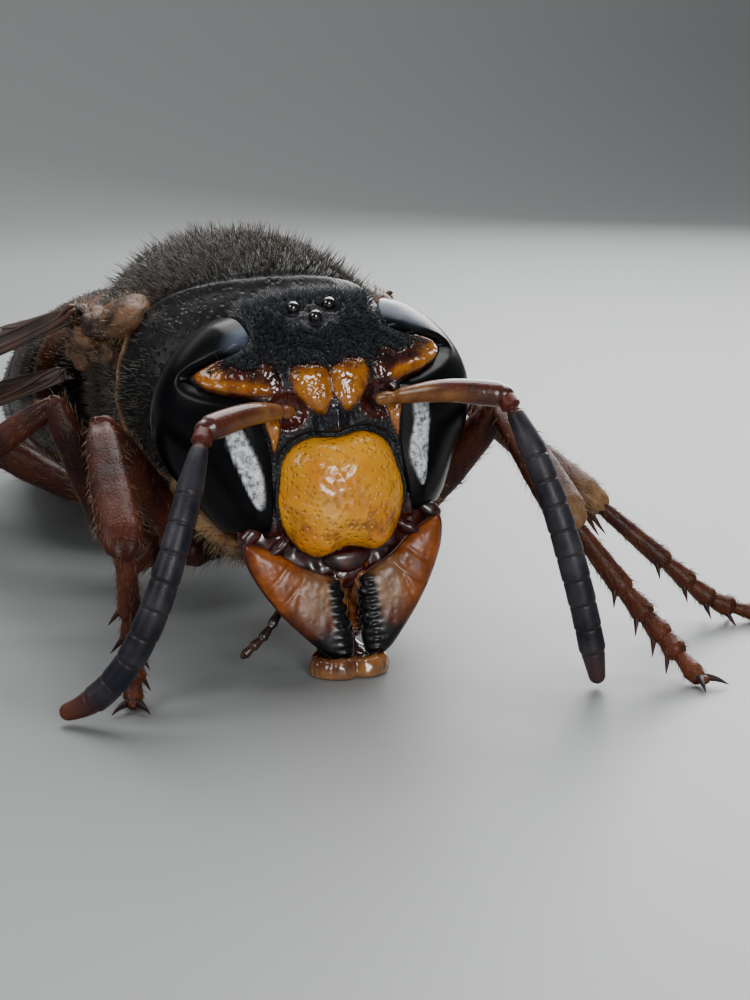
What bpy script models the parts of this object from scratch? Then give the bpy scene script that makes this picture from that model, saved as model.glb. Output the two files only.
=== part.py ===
"""A Philippine hornet worker, life size, standing on all six feet with its tongue on the floor.

The hornet faces -Y, its left side is +X, and the floor is Z = 0. Sizes are metres.
"""

import math

import bmesh
import bpy
import numpy as np
from mathutils import Euler, Matrix, Vector

MM = 0.001
GAP = 0.25 * MM          # clear space kept between neighbouring pieces
WELD = 0.002 * MM        # points of a cut closer than this become one
DOME_STEPS = (math.radians(35.0), math.radians(65.0))     # where the rings of a tube's round ends lie
SIDES = {"right": -1.0, "left": 1.0}


def mm(*values):
    return np.array(values, dtype=float) * MM


# Head: placed by its middle, turned a little to its right, tilted and with the face lifted.
HEAD_MIDDLE = mm(-0.05, 2.0, 5.15)
HEAD_TURN = (math.radians(-5.0), math.radians(-5.0), math.radians(-5.0))
CRANIUM_MIDDLE = mm(0.0, 0.15, 0.35)
CRANIUM_HALF = mm(3.35, 1.85, 2.45)
FACE_MIDDLE = mm(0.0, -0.35, -1.45)
FACE_HALF = mm(2.35, 1.45, 1.35)
HEAD_BACK = 1.5 * MM
HEAD_SOFTNESS = 0.5 * MM
SHIELD_LOBE = mm(0.38, 0.0, 0.95)
SHIELD_HEIGHT = 0.22 * MM
SINUS_PLATE = mm(1.7, 0.0, 1.3)
SINUS_HEIGHT = 0.16 * MM
SOCKET = mm(1.0, -1.65, 0.5)
SOCKET_DEPTH = 0.16 * MM
OCELLI = ((0.0, 0.0), (-0.4, 0.22), (0.4, 0.22))
OCELLUS_MIDDLE = mm(0.0, -0.98, 2.36)
OCELLUS_RADIUS = 0.17 * MM

# Eyes: kidney outlines seen from the side of the head, 60 degrees round from the face.
EYE_ANGLE = math.radians(60.0)
EYE_MIDDLE = (0.83 * MM, 0.2 * MM)
EYE_HALF = (1.35 * MM, 2.3 * MM)
EYE_FULLNESS = 2.3
EYE_NOTCH_DEPTH = 1.5 * MM
EYE_NOTCH_HEIGHT = 1.32 * MM
EYE_NOTCH_HALF = 0.5 * MM
EYE_NOTCH_SLOPE = 0.35 * MM
EYE_GAP = 0.2 * MM
EYE_PROUD = 0.12 * MM
EYE_BACK = 1.25 * MM
EYE_END_RISE = 0.2 * MM
EYE_BACK_SHARE = 0.7      # size of the eye's back against its front

# Clypeus: the shield of the face, right half outline from the top notch to the bottom notch.
CLYPEUS_HALF = ((0.0, -0.17), (0.6, -0.12), (1.08, -0.4), (1.3, -1.0), (1.38, -1.6), (1.1, -2.35),
                (0.65, -2.7), (0.0, -2.55))
CLYPEUS_MIDDLE = (0.0, -1.3 * MM)
CLYPEUS_FRONT = -1.68 * MM
CLYPEUS_BULGE = 0.42 * MM
CLYPEUS_BACK = -1.2 * MM
CLYPEUS_CURVE = 100.0     # metres of fall-back for each square metre off the midline

# Mandibles: blade outline of one side, from the outer base round by the toothed inner edge.
MANDIBLE_OUTLINE = ((2.15, -2.3), (1.5, -2.6), (0.95, -2.98), (0.34, -3.25), (0.2, -3.7), (0.2, -4.3),
                    (0.36, -4.7), (0.9, -4.52), (1.55, -3.85), (2.1, -3.0))
MANDIBLE_MIDDLE = (1.15 * MM, -3.4 * MM)
MANDIBLE_PLANE = (-1.28 * MM, 0.1)       # depth at the base line, and how far it comes forward per drop
MANDIBLE_THICKNESS = 0.5 * MM
MANDIBLE_BULGE = 0.35 * MM
MANDIBLE_POINTS = 40
TOOTH_NOTCHES = (15, 18, 21, 23)         # which points of the inner edge step in between the teeth
TOOTH_DEPTH = 0.11 * MM

# Tongue: a pad on the floor and the stalk that rises behind the mandibles.
TONGUE_RINGS = ((0.0, 0.15, 0.8, 0.52), (0.26, 0.15, 0.86, 0.58), (0.34, 0.4, 0.68, 0.44),
                (0.56, 1.15, 0.34, 0.32), (1.2, 1.45, 0.34, 0.34), (2.6, 1.7, 0.36, 0.36))

# Antennae: the elbow, the bend of the whip and the tip on the floor, for each side.
SCAPE_RADIUS = 0.25 * MM
WHIP_RADIUS = 0.31 * MM
ANTENNA = {
    "right": {"elbow": mm(-3.35, -0.55, 5.62), "bow": mm(-4.45, -2.35, 4.2), "reach": mm(-4.9, -2.1, 0.9),
              "tip": mm(-6.4, -1.05, 0.28)},
    "left": {"elbow": mm(2.95, -1.15, 6.05), "bow": mm(3.4, -2.6, 4.6), "reach": mm(4.1, -2.7, 2.0),
             "tip": mm(4.42, -2.75, 0.27)},
}

# Mesosoma: soft union of these ellipsoids (middle, half sizes).
MESOSOMA_LUMPS = (
    (mm(0.0, 7.4, 5.5), mm(3.45, 4.4, 3.3)),
    (mm(0.0, 5.3, 5.3), mm(3.55, 1.9, 2.7)),
    (mm(0.0, 6.8, 3.7), mm(2.3, 3.5, 1.9)),
    (mm(0.0, 9.7, 5.0), mm(2.75, 2.4, 2.6)),
    (mm(0.0, 9.2, 7.2), mm(1.75, 1.2, 1.15)),
)
MESOSOMA_MIDDLE = mm(0.0, 7.4, 5.0)
MESOSOMA_SOFTNESS = 0.6 * MM
SCUTUM_FRONT = 4.55 * MM
SCUTUM_CURVE = 175.0      # metres of set-back for each square metre off the midline
SCUTUM_FLOOR = 6.6 * MM
COLLAR_BACK = 6.1 * MM
COLLAR_LEAN = 0.34
SCUTELLUM_FRONT = 8.85 * MM
SCUTELLUM_FLOOR = 6.95 * MM
PROPODEUM_FRONT = 9.75 * MM
TEGULA_MIDDLE = mm(3.0, 6.45, 7.1)
TEGULA_HALF = mm(0.75, 0.95, 0.62)

# Wings: root, direction and width along the length, folded lengthwise over the gaster's sides.
WING_THICKNESS = 0.5 * MM
WINGS = {
    "forewing": {"root": mm(3.88, 7.65, 6.95), "length": 19.6 * MM, "width": 3.3 * MM,
                 "spread": 9.0, "droop": 14.0},
    "hindwing": {"root": mm(3.92, 8.75, 5.38), "length": 12.6 * MM, "width": 2.0 * MM,
                 "spread": 8.0, "droop": 13.5},
}
WING_ROLL = math.radians(30.0)
WING_ARCH = 0.28 * MM
WING_HINGE = 0.35         # share of the width that lies outside the root
WING_WIDTHS = ((0.0, 0.15), (0.12, 0.4), (0.4, 0.88), (0.68, 1.0), (0.86, 0.86), (0.95, 0.6), (1.0, 0.2))
WING_ROWS = 18
WING_COLUMNS = (0.0, 0.12, 0.26, 0.4, 0.53, 0.66, 0.83, 1.0)
VEIN_HEIGHT = 0.13 * MM
LONG_VEINS = {0: 1.0, 2: 0.9, 5: 0.8}    # column: reach along the wing
CROSS_VEINS = ((5, 2, 5), (8, 5, 7), (10, 0, 2), (11, 2, 5), (13, 5, 7), (14, 2, 5))    # row, between columns

# Gaster: along its drooping middle line, six rings of plates.
GASTER_START = mm(0.0, 12.85, 4.5)
GASTER_END = mm(0.0, 26.6, 1.4)
GASTER_ARCH = 0.35 * MM
GASTER_HALF_WIDTH = 3.35 * MM
GASTER_HALF_HEIGHT = 2.85 * MM
GASTER_SEAMS = (0.0, 0.2, 0.4, 0.58, 0.74, 0.88, 1.0)
GASTER_FLARE = 0.13 * MM
PETIOLE_RADIUS = 0.62 * MM

# Legs: where each leg's pieces meet, from inside the body to the claws, in millimetres.
LEGS = {
    "front_right": ((-1.05, 4.9, 3.1), (-2.35, 3.75, 1.95), (-4.71, 2.5, 5.32), (-4.98, -0.2, 3.3),
                    (-4.82, -0.1, 1.55), (-4.85, -0.25, 0.62), (-4.98, -0.62, 0.17)),
    "front_left": ((1.05, 4.9, 3.1), (2.35, 3.75, 1.95), (4.13, 1.5, 5.36), (4.45, -1.35, 3.32),
                   (5.5, -1.9, 1.8), (6.13, -2.6, 0.84), (6.45, -3.45, 0.17)),
    "middle_right": ((-1.35, 6.9, 3.0), (-3.35, 5.7, 1.35), (-4.95, 5.8, 5.32), (-8.3, 6.8, 2.9),
                     (-9.75, 7.0, 1.35), (-10.5, 7.1, 0.5), (-11.5, 7.2, 0.17)),
    "middle_left": ((1.35, 6.9, 3.0), (3.0, 6.0, 1.6), (4.7, 4.8, 5.0), (6.93, 2.0, 2.78),
                    (8.46, 1.2, 1.33), (9.4, 0.8, 0.52), (10.5, 0.35, 0.17)),
    "hind_right": ((-1.3, 9.3, 3.1), (-2.7, 10.5, 1.9), (-5.7, 13.0, 3.58), (-7.0, 16.6, 2.1),
                   (-7.6, 18.9, 1.05), (-8.2, 20.0, 0.45), (-8.7, 21.0, 0.17)),
    "hind_left": ((1.3, 9.3, 3.1), (2.7, 10.5, 1.9), (5.75, 12.7, 3.7), (7.4, 16.1, 2.1),
                  (8.4, 18.1, 1.05), (9.1, 19.1, 0.45), (9.7, 20.0, 0.17)),
}
COXA_PROFILE = ((0.0, 0.95), (0.55, 0.8), (1.0, 0.42))
FEMUR_PROFILE = ((0.0, 0.3), (0.12, 0.36), (0.5, 0.42), (0.85, 0.38), (1.0, 0.34))
TIBIA_PROFILE = ((0.0, 0.3), (0.12, 0.34), (0.6, 0.42), (0.92, 0.45), (1.0, 0.36))
LEG_GIRTH = {"front": 1.0, "middle": 0.9, "hind": 1.0}
TARSOMERE_ENDS = (0.42, 0.58, 0.71, 0.82, 1.0)
TARSUS_NARROW = 0.2 * MM
TARSUS_FLARED = 0.27 * MM
TARSAL_SPINE = {"length": 0.5 * MM, "radius": 0.09 * MM, "sink": 0.12 * MM, "apart": 0.12 * MM}
TARSAL_SPINE_LEAN = (0.72, 0.42, -0.55)  # how much a tarsal spine points forward, sideways and up
TIBIAL_SPUR = {"length": 1.0 * MM, "radius": 0.11 * MM, "back": 0.4 * MM, "offset": 0.2 * MM}
TIBIAL_SPUR_LEAN = (0.8, 0.6)            # how much a spur points along the tibia and away from it
TIBIAL_SPURS = {"front": (0.0,), "middle": (-0.5, 0.5), "hind": (-0.5, 0.5)}    # turns round the tibia
CLAW_LENGTH = 0.55 * MM
CLAW_RADIUS = 0.12 * MM
CLAW_SPREAD = math.radians(38.0)

COLOURS = {
    "black": ((0.012, 0.013, 0.016), 0.5),
    "eye": ((0.006, 0.006, 0.008), 0.08),
    "orange": ((0.62, 0.24, 0.03), 0.3),
    "jaw": ((0.48, 0.15, 0.03), 0.3),
    "tongue": ((0.55, 0.2, 0.03), 0.25),
    "leg": ((0.16, 0.035, 0.015), 0.35),
    "scape": ((0.3, 0.12, 0.03), 0.35),
    "whip": ((0.03, 0.028, 0.03), 0.5),
    "gaster": ((0.02, 0.012, 0.008), 0.35),
    "wing": ((0.09, 0.05, 0.025), 0.35),
    "tegula": ((0.25, 0.1, 0.03), 0.35),
}


def material(kind):
    if kind in bpy.data.materials:
        return bpy.data.materials[kind]
    colour, roughness = COLOURS[kind]
    made = bpy.data.materials.new(kind)
    made.use_nodes = True
    shader = made.node_tree.nodes["Principled BSDF"]
    shader.inputs["Base Color"].default_value = (*colour, 1.0)
    shader.inputs["Roughness"].default_value = roughness
    shader.inputs["Metallic"].default_value = 0.0
    return made


def piece(name, mesh_data, kind):
    """A new object from a bmesh, closed, triangulated and smooth."""
    bmesh.ops.recalc_face_normals(mesh_data, faces=mesh_data.faces[:])
    bmesh.ops.triangulate(mesh_data, faces=mesh_data.faces[:])
    mesh = bpy.data.meshes.new(name)
    mesh_data.to_mesh(mesh)
    mesh_data.free()
    mesh.materials.append(material(kind))
    made = bpy.data.objects.new(name, mesh)
    bpy.context.scene.collection.objects.link(made)
    return made


def ring_stack(name, rings, kind, first_tip=None, last_tip=None):
    """A closed skin through rings of one count; each end closes on a tip or on its own middle."""
    shape = bmesh.new()
    rows = [[shape.verts.new(point) for point in ring] for ring in rings]
    count = len(rows[0])
    for row, following in zip(rows, rows[1:]):
        for k in range(count):
            n = (k + 1) % count
            shape.faces.new((row[k], row[n], following[n], following[k]))
    for row, ring, tip in ((rows[0], rings[0], first_tip), (rows[-1], rings[-1], last_tip)):
        middle = shape.verts.new(np.mean(ring, axis=0) if tip is None else tip)
        for k in range(count):
            shape.faces.new((row[k], row[(k + 1) % count], middle))
    return piece(name, shape, kind)


def applied(made):
    """Bakes the object's modifiers into its mesh and keeps its largest closed surface."""
    bpy.context.view_layer.update()
    evaluated = made.evaluated_get(bpy.context.evaluated_depsgraph_get())
    mesh = bpy.data.meshes.new_from_object(evaluated)
    made.modifiers.clear()
    made.data = mesh
    shape = bmesh.new()
    shape.from_mesh(mesh)
    left = set(shape.faces)
    islands = []
    while left:
        stack = [left.pop()]
        island = list(stack)
        while stack:
            for edge in stack.pop().edges:
                for face in edge.link_faces:
                    if face in left:
                        left.remove(face)
                        stack.append(face)
                        island.append(face)
        islands.append(island)
    islands.sort(key=lambda faces: sum(face.calc_area() for face in faces))
    spare = [face for island in islands[:-1] for face in island]
    bmesh.ops.delete(shape, geom=spare, context="FACES")
    bmesh.ops.remove_doubles(shape, verts=shape.verts[:], dist=WELD)
    bmesh.ops.dissolve_degenerate(shape, edges=shape.edges[:], dist=WELD)
    bmesh.ops.triangulate(shape, faces=shape.faces[:])
    shape.to_mesh(mesh)
    shape.free()
    return made


def cut(made, other):
    """Cuts one closed object out of another; the cutter is then removed."""
    change = made.modifiers.new("cut", "BOOLEAN")
    change.operation = "DIFFERENCE"
    change.solver = "EXACT"
    change.object = other
    applied(made)
    bpy.data.objects.remove(other)
    return made


def fused(made, parts):
    """Joins closed pieces to an object in one union."""
    group = bpy.data.collections.new("joining")
    for part in parts:
        group.objects.link(part)
    union = made.modifiers.new("join", "BOOLEAN")
    union.operation = "UNION"
    union.solver = "EXACT"
    union.operand_type = "COLLECTION"
    union.collection = group
    applied(made)
    for part in parts:
        bpy.data.objects.remove(part)
    bpy.data.collections.remove(group)
    return made


def clip(made, point, outward):
    """Cuts away what lies on the outward side of a plane and closes the cut with a flat face."""
    shape = bmesh.new()
    shape.from_mesh(made.data)
    everything = shape.verts[:] + shape.edges[:] + shape.faces[:]
    bmesh.ops.bisect_plane(shape, geom=everything, dist=1e-8, plane_co=Vector(point),
                           plane_no=Vector(outward), clear_outer=True)
    rim = [edge for edge in shape.edges if edge.is_boundary]
    if rim:
        bmesh.ops.holes_fill(shape, edges=rim, sides=0)
    bmesh.ops.triangulate(shape, faces=shape.faces[:])
    bmesh.ops.recalc_face_normals(shape, faces=shape.faces[:])
    shape.to_mesh(made.data)
    shape.free()
    return made


def unit(vector):
    return vector / np.linalg.norm(vector)


def frames(path):
    """Two crosswise unit vectors at each point of a path, carried along it without twist."""
    steps = np.gradient(path, axis=0)
    along = steps / np.linalg.norm(steps, axis=1)[:, None]
    start = np.cross(along[0], (0.0, 0.0, 1.0) if abs(along[0][2]) < 0.9 else (1.0, 0.0, 0.0))
    across = unit(start)
    result = []
    for direction in along:
        across = unit(across - direction * np.dot(across, direction))
        result.append((direction, across, np.cross(direction, across)))
    return result


def tube(name, path, radii, kind, sides=10, domes=True):
    """A tapering tube along a path, with rounded ends or flat ones."""
    axes = frames(path)
    angles = np.arange(sides) * 2.0 * math.pi / sides

    def ring(centre, radius, axis):
        _, across, up = axis
        return [centre + radius * (math.cos(a) * across + math.sin(a) * up) for a in angles]

    rings = [ring(centre, radius, axis) for centre, radius, axis in zip(path, radii, axes)]
    if not domes:
        return ring_stack(name, rings, kind)
    head, tail = [], []
    for a in DOME_STEPS:
        head.append(ring(path[0] - axes[0][0] * radii[0] * math.sin(a), radii[0] * math.cos(a), axes[0]))
        tail.append(ring(path[-1] + axes[-1][0] * radii[-1] * math.sin(a), radii[-1] * math.cos(a), axes[-1]))
    first = path[0] - axes[0][0] * radii[0]
    last = path[-1] + axes[-1][0] * radii[-1]
    return ring_stack(name, head[::-1] + rings + tail, kind, first, last)


def spike(name, path, radii, kind, sides=5):
    """A bent cone: rings along all but the last point of a path, which is its tip."""
    angles = np.arange(sides) * 2.0 * math.pi / sides
    rings = []
    for centre, radius, (_, across, up) in zip(path[:-1], radii, frames(path)):
        rings.append([centre + radius * (math.cos(a) * across + math.sin(a) * up) for a in angles])
    return ring_stack(name, rings, kind, None, path[-1])


def bezier(start, first, second, end, count):
    t = np.linspace(0.0, 1.0, count)[:, None]
    return start * (1 - t) ** 3 + 3 * first * t * (1 - t) ** 2 + 3 * second * t * t * (1 - t) + end * t ** 3


def smooth_ring(points, count):
    """A closed curve through a few points, sampled evenly in its parameter."""
    points = np.array(points, dtype=float)
    total = len(points)
    result = []
    for k in range(count):
        place = k * total / count
        i = int(place)
        t = place - i
        a, b, c, d = (points[(i + shift) % total] for shift in (-1, 0, 1, 2))
        result.append(0.5 * (2 * b + (c - a) * t + (2 * a - 5 * b + 4 * c - d) * t ** 2
                             + (3 * b - a - 3 * c + d) * t ** 3))
    return np.array(result)


def ellipsoid_field(points, middle, half):
    return (np.linalg.norm((points - middle) / half, axis=-1) - 1.0) * half.min()


def soft_union(a, b, softness):
    h = np.clip(0.5 + 0.5 * (b - a) / softness, 0.0, 1.0)
    return b * (1 - h) + a * h - softness * h * (1 - h)


def surface_along(field, start, direction, far):
    """Where rays from inside a form leave it, by halving."""
    low = np.zeros(len(direction))
    high = np.full(len(direction), far)
    for _ in range(26):
        middle = 0.5 * (low + high)
        inside = field(start + direction * middle[:, None]) < 0.0
        low = np.where(inside, middle, low)
        high = np.where(inside, high, middle)
    return start + direction * low[:, None]


def star_surface(name, field, centre, rings, count, reach, kind):
    """Skin of a form that every ray from its centre leaves once; the poles lie on Y."""
    angles = np.arange(count) * 2.0 * math.pi / count
    rows = []
    for k in range(1, rings):
        slope = math.pi * k / rings
        directions = np.stack([np.cos(angles) * math.sin(slope), np.full(count, -math.cos(slope)),
                               np.sin(angles) * math.sin(slope)], axis=-1)
        rows.append(surface_along(field, centre, directions, reach))
    poles = surface_along(field, centre, np.array([[0.0, -1.0, 0.0], [0.0, 1.0, 0.0]]), reach)
    return ring_stack(name, rows, kind, poles[0], poles[1])


def prism(name, outline, low, high, axis):
    """A block with a flat outline pushed along one axis: X or Z in world, or Y for the face."""
    def spot(a, b, level):
        return {"X": (level, a, b), "Y": (a, level, b), "Z": (a, b, level)}[axis]
    rings = [[spot(a, b, level) for a, b in outline] for level in (low, high)]
    return ring_stack(name, rings, "black")


def head_field(points):
    skull = ellipsoid_field(points, CRANIUM_MIDDLE, CRANIUM_HALF)
    face = ellipsoid_field(points, FACE_MIDDLE, FACE_HALF)
    whole = soft_union(skull, face, HEAD_SOFTNESS)
    return -soft_union(-whole, HEAD_BACK - points[..., 1], HEAD_SOFTNESS)


def lump(points, middle, spread_x, spread_z):
    return np.exp(-((np.abs(points[..., 0]) - middle[0]) / spread_x) ** 2
                  - ((points[..., 2] - middle[2]) / spread_z) ** 2)


def face_field(points):
    """The head with its frontal lobes, the plates in the eye notches and the antenna sockets."""
    front = np.clip(-points[..., 1] / MM, 0.0, 1.0)
    relief = SHIELD_HEIGHT * lump(points, SHIELD_LOBE, 0.33 * MM, 0.42 * MM)
    relief += SINUS_HEIGHT * lump(points, SINUS_PLATE, 0.75 * MM, 0.22 * MM)
    relief -= SOCKET_DEPTH * lump(points, SOCKET, 0.28 * MM, 0.28 * MM)
    return head_field(points) - relief * front


def grown(field, by):
    return lambda points: field(points) - by


def in_head(made):
    made.matrix_world = head_place()
    return made


def head_place():
    return Matrix.Translation(Vector(HEAD_MIDDLE)) @ Euler(HEAD_TURN, "YXZ").to_matrix().to_4x4()


def from_head(point):
    return np.array(head_place() @ Vector(point))


def grown_head(by):
    return in_head(star_surface("grown_head", grown(head_field, by), mm(0, 0, 0), 11, 18, 5 * MM, "black"))


def eye_rows(count):
    """Heights of the rows across an eye, close together where the notch steps in."""
    even = [-math.cos(math.pi * k / count) * EYE_HALF[1] + EYE_MIDDLE[1] for k in range(1, count)]
    clear = [v for v in even if abs(v - EYE_NOTCH_HEIGHT) > EYE_NOTCH_HALF + 0.08 * MM]
    steps = [EYE_NOTCH_HEIGHT + EYE_NOTCH_HALF * share for share in (-1.0, -0.65, -0.3, 0.3, 0.65, 1.0)]
    return sorted(clear + steps)


def eye_span(v, outset):
    """Inner and outer edge of the eye's outline at a height."""
    off = (v - EYE_MIDDLE[1]) / (EYE_HALF[1] + outset)
    share = (1.0 - abs(off) ** EYE_FULLNESS) ** (1.0 / EYE_FULLNESS)
    wide = (EYE_HALF[0] + outset) * share
    step = (EYE_NOTCH_HALF - outset - abs(v - EYE_NOTCH_HEIGHT)) / EYE_NOTCH_SLOPE
    notch = (EYE_NOTCH_DEPTH - outset) * min(max(step, 0.0), 1.0)
    return EYE_MIDDLE[0] - wide + notch, EYE_MIDDLE[0] + wide


def eye_solid(name, side, outset=0.0, lift=0.0, columns=6):
    """Kidney-shaped eye: rows across its outline, pushed out to the surface of the head.

    The socket that is cut for it is the same form, set out all round and lifted past the surface.
    """
    outward = np.array([side * math.sin(EYE_ANGLE), -math.cos(EYE_ANGLE), 0.0])
    across = np.array([side * math.cos(EYE_ANGLE), math.sin(EYE_ANGLE), 0.0])
    up = np.array([0.0, 0.0, 1.0])
    middle = across * EYE_MIDDLE[0] + up * EYE_MIDDLE[1] + outward * EYE_BACK
    rings = []
    for v in eye_rows(18):
        spots = np.linspace(*eye_span(v, outset), columns)
        base = across * spots[:, None] + up * v + outward * EYE_BACK
        face = surface_along(grown(head_field, EYE_PROUD), base, np.tile(outward, (columns, 1)), 4 * MM)
        floor = middle + (base - middle) * EYE_BACK_SHARE - outward * outset
        rim = [list(face)]
        if lift:
            rim = [[face[0]], list(face + outward * lift), [face[-1]]]
        rings.append(sum(rim, []) + list(floor[::-1]))
    ends = [middle + up * sign * (EYE_HALF[1] + outset) + outward * EYE_END_RISE for sign in (-1.0, 1.0)]
    return in_head(ring_stack(name, rings, "eye", ends[0], ends[1]))


def eye(side_name):
    return eye_solid("eye_" + side_name, SIDES[side_name])


def clypeus_outline(count, outset=0.0, drop=0.0):
    right = [(x * MM, z * MM) for x, z in CLYPEUS_HALF]
    left = [(-x, z) for x, z in right[-2:0:-1]]
    ring = smooth_ring(right + left, count)
    away = ring - np.array(CLYPEUS_MIDDLE)
    ring = ring + away / np.linalg.norm(away, axis=1)[:, None] * outset
    low = ring[:, 1] < -2.1 * MM
    ring[low, 1] -= drop
    return ring


def pillow(name, outline, rim, middle, front, back, kind, steps):
    """A plate that swells inside its outline; front and back give its depth at each place."""
    middle = np.array(middle)
    rings = []
    for share in steps:
        ring = middle + (outline - middle) * share
        rings.append([(x, front(x, z, share), z) for x, z in ring])
    rings.append([(x, front(x, z, 1.0), z) for x, z in rim])
    rings.append([(x, back(x, z), z) for x, z in rim])
    first = (middle[0], front(middle[0], middle[1], 0.0), middle[1])
    last = (middle[0], back(middle[0], middle[1]), middle[1])
    return in_head(ring_stack(name, rings, kind, first, last))


def clypeus():
    def front(x, z, share):
        return CLYPEUS_FRONT + CLYPEUS_CURVE * x * x - CLYPEUS_BULGE * (1.0 - share ** 3)

    def back(x, z):
        return CLYPEUS_BACK
    outline = clypeus_outline(32)
    return pillow("clypeus", outline, outline, CLYPEUS_MIDDLE, front, back, "orange", (0.35, 0.65, 0.88))


def mandible(side_name):
    side = SIDES[side_name]
    outline = smooth_ring([(side * x * MM, z * MM) for x, z in MANDIBLE_OUTLINE], MANDIBLE_POINTS)
    middle = np.array((side * MANDIBLE_MIDDLE[0], MANDIBLE_MIDDLE[1]))
    teeth = outline.copy()
    for k in TOOTH_NOTCHES:
        teeth[k] += unit(middle - teeth[k]) * TOOTH_DEPTH
    base, lean = MANDIBLE_PLANE

    def plane(z):
        return base + lean * (z + 2.5 * MM)

    def front(x, z, share):
        return plane(z) - 0.5 * MANDIBLE_THICKNESS - MANDIBLE_BULGE * (1.0 - share ** 2)

    def back(x, z):
        return plane(z) + 0.5 * MANDIBLE_THICKNESS
    jaw = pillow("mandible_" + side_name, outline, teeth, middle, front, back, "jaw", (0.4, 0.75))
    return cut(jaw, grown_head(GAP))


def head():
    skull = in_head(star_surface("head", face_field, mm(0, 0, 0), 18, 28, 5 * MM, "black"))
    for side in SIDES.values():
        cut(skull, eye_solid("socket", side, EYE_GAP, 0.8 * MM))
    pocket = prism("pocket", clypeus_outline(32, GAP, 0.4 * MM), -3.2 * MM, CLYPEUS_BACK + GAP, "Y")
    cut(skull, in_head(pocket))
    beads = []
    for x, rise in OCELLI:
        spot = OCELLUS_MIDDLE + mm(x, 1.3 * rise, rise)
        bead = tube("bead", np.array([spot - mm(0, -0.02, 0.02), spot]), [OCELLUS_RADIUS] * 2, "eye", 8)
        beads.append(in_head(bead))
    return fused(skull, beads)


def tongue():
    rings = []
    for height, depth, wide, deep in TONGUE_RINGS:
        angles = np.arange(16) * 2.0 * math.pi / 16
        around = np.stack([wide * np.cos(angles), depth + deep * np.sin(angles), np.full(16, height)], axis=-1)
        rings.append(around * MM)
    made = ring_stack("tongue", rings, "tongue")
    return cut(made, grown_head(GAP))


def antenna(side_name):
    side = SIDES[side_name]
    places = ANTENNA[side_name]
    socket = from_head(SOCKET * (side, 1.0, 1.0) - mm(0, 0.3, 0))
    elbow = places["elbow"]
    along = unit(elbow - socket)
    path = np.linspace(socket, elbow, 5)
    radii = SCAPE_RADIUS * np.array([0.85, 1.0, 1.0, 1.05, 1.05])
    scape = tube("antenna_%s_scape" % side_name, path, radii, "scape")
    face_out = unit(from_head((0, -1, 0)) - from_head((0, 0, 0)))
    clip(scape, socket, -face_out)
    curve = bezier(elbow, places["bow"], places["reach"], places["tip"], 13)
    start = unit(curve[1] - curve[0])
    bend = unit(along + start)
    clip(scape, elbow - bend * 0.5 * GAP, bend)
    radii = WHIP_RADIUS * np.interp(np.linspace(0, 1, 13), (0, 0.06, 0.12, 0.8, 1), (0.8, 0.82, 1, 1, 0.85))
    whip = tube("antenna_%s_flagellum" % side_name, curve, radii, "whip", 9)
    clip(whip, elbow + bend * 0.5 * GAP, -bend)
    clip(whip, (0, 0, 0), (0, 0, -1))


def mesosoma_field(points):
    whole = None
    for middle, half in MESOSOMA_LUMPS:
        ball = ellipsoid_field(points, middle, half)
        whole = ball if whole is None else soft_union(whole, ball, MESOSOMA_SOFTNESS)
    return whole


def mesosoma(name, by=0.0, rings=17, count=28):
    return star_surface(name, grown(mesosoma_field, by), MESOSOMA_MIDDLE, rings, count, 9 * MM, "black")


def grown_mesosoma():
    """The mesosoma set out by the gap, to cut what meets it."""
    return mesosoma("grown", by=GAP, rings=15, count=24)


def collar_line(height):
    """How far back the pronotum reaches at a height on its side."""
    return COLLAR_BACK - COLLAR_LEAN * (7.2 * MM - height)


def side_block(name, ahead, shift):
    """Everything ahead of the collar line, or behind it, moved back by shift."""
    far = -3 * MM if ahead else 16 * MM
    low, high = -1 * MM, 10 * MM
    outline = [(collar_line(low) + shift, low), (collar_line(7.2 * MM) + shift, 7.2 * MM),
               (COLLAR_BACK + shift, high), (far, high), (far, low)]
    return prism(name, outline, -6 * MM, 6 * MM, "X")


def scutum_block(name, shift, floor):
    """The space over the scutum, behind its arched front edge."""
    spots = np.linspace(-1.0, 1.0, 13) * 3.6 * MM
    arc = [(x, SCUTUM_FRONT + SCUTUM_CURVE * x * x + shift) for x in spots]
    return prism(name, arc + [(4 * MM, 16 * MM), (-4 * MM, 16 * MM)], floor, 11 * MM, "Z")


def pronotum():
    collar = mesosoma("pronotum")
    cut(collar, side_block("behind", False, 0.0))
    cut(collar, scutum_block("scutum", 0.0, SCUTUM_FLOOR))
    return cut(collar, grown_head(GAP))


def mesothorax():
    ahead = side_block("ahead", True, GAP)
    cut(ahead, scutum_block("scutum", GAP, SCUTUM_FLOOR + GAP))
    chest = cut(mesosoma("mesothorax"), ahead)
    rear = [(SCUTELLUM_FRONT, 12 * MM), (SCUTELLUM_FRONT, SCUTELLUM_FLOOR),
            (PROPODEUM_FRONT, SCUTELLUM_FLOOR), (PROPODEUM_FRONT - 0.5 * MM, -1 * MM),
            (16 * MM, -1 * MM), (16 * MM, 12 * MM)]
    return cut(chest, prism("rear", rear, -6 * MM, 6 * MM, "X"))


def scutellum():
    plate = mesosoma("scutellum")
    clip(plate, (0, SCUTELLUM_FRONT + GAP, 0), (0, -1, 0))
    return clip(plate, (0, 0, SCUTELLUM_FLOOR + GAP), (0, 0, -1))


def propodeum():
    rear = mesosoma("propodeum")
    lean = unit(np.array([0.0, -1.0, 0.5 * MM / SCUTELLUM_FLOOR]))
    clip(rear, (0, PROPODEUM_FRONT + GAP, SCUTELLUM_FLOOR), lean)
    return clip(rear, (0, 0, SCUTELLUM_FLOOR), (0, 0, 1))


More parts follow.
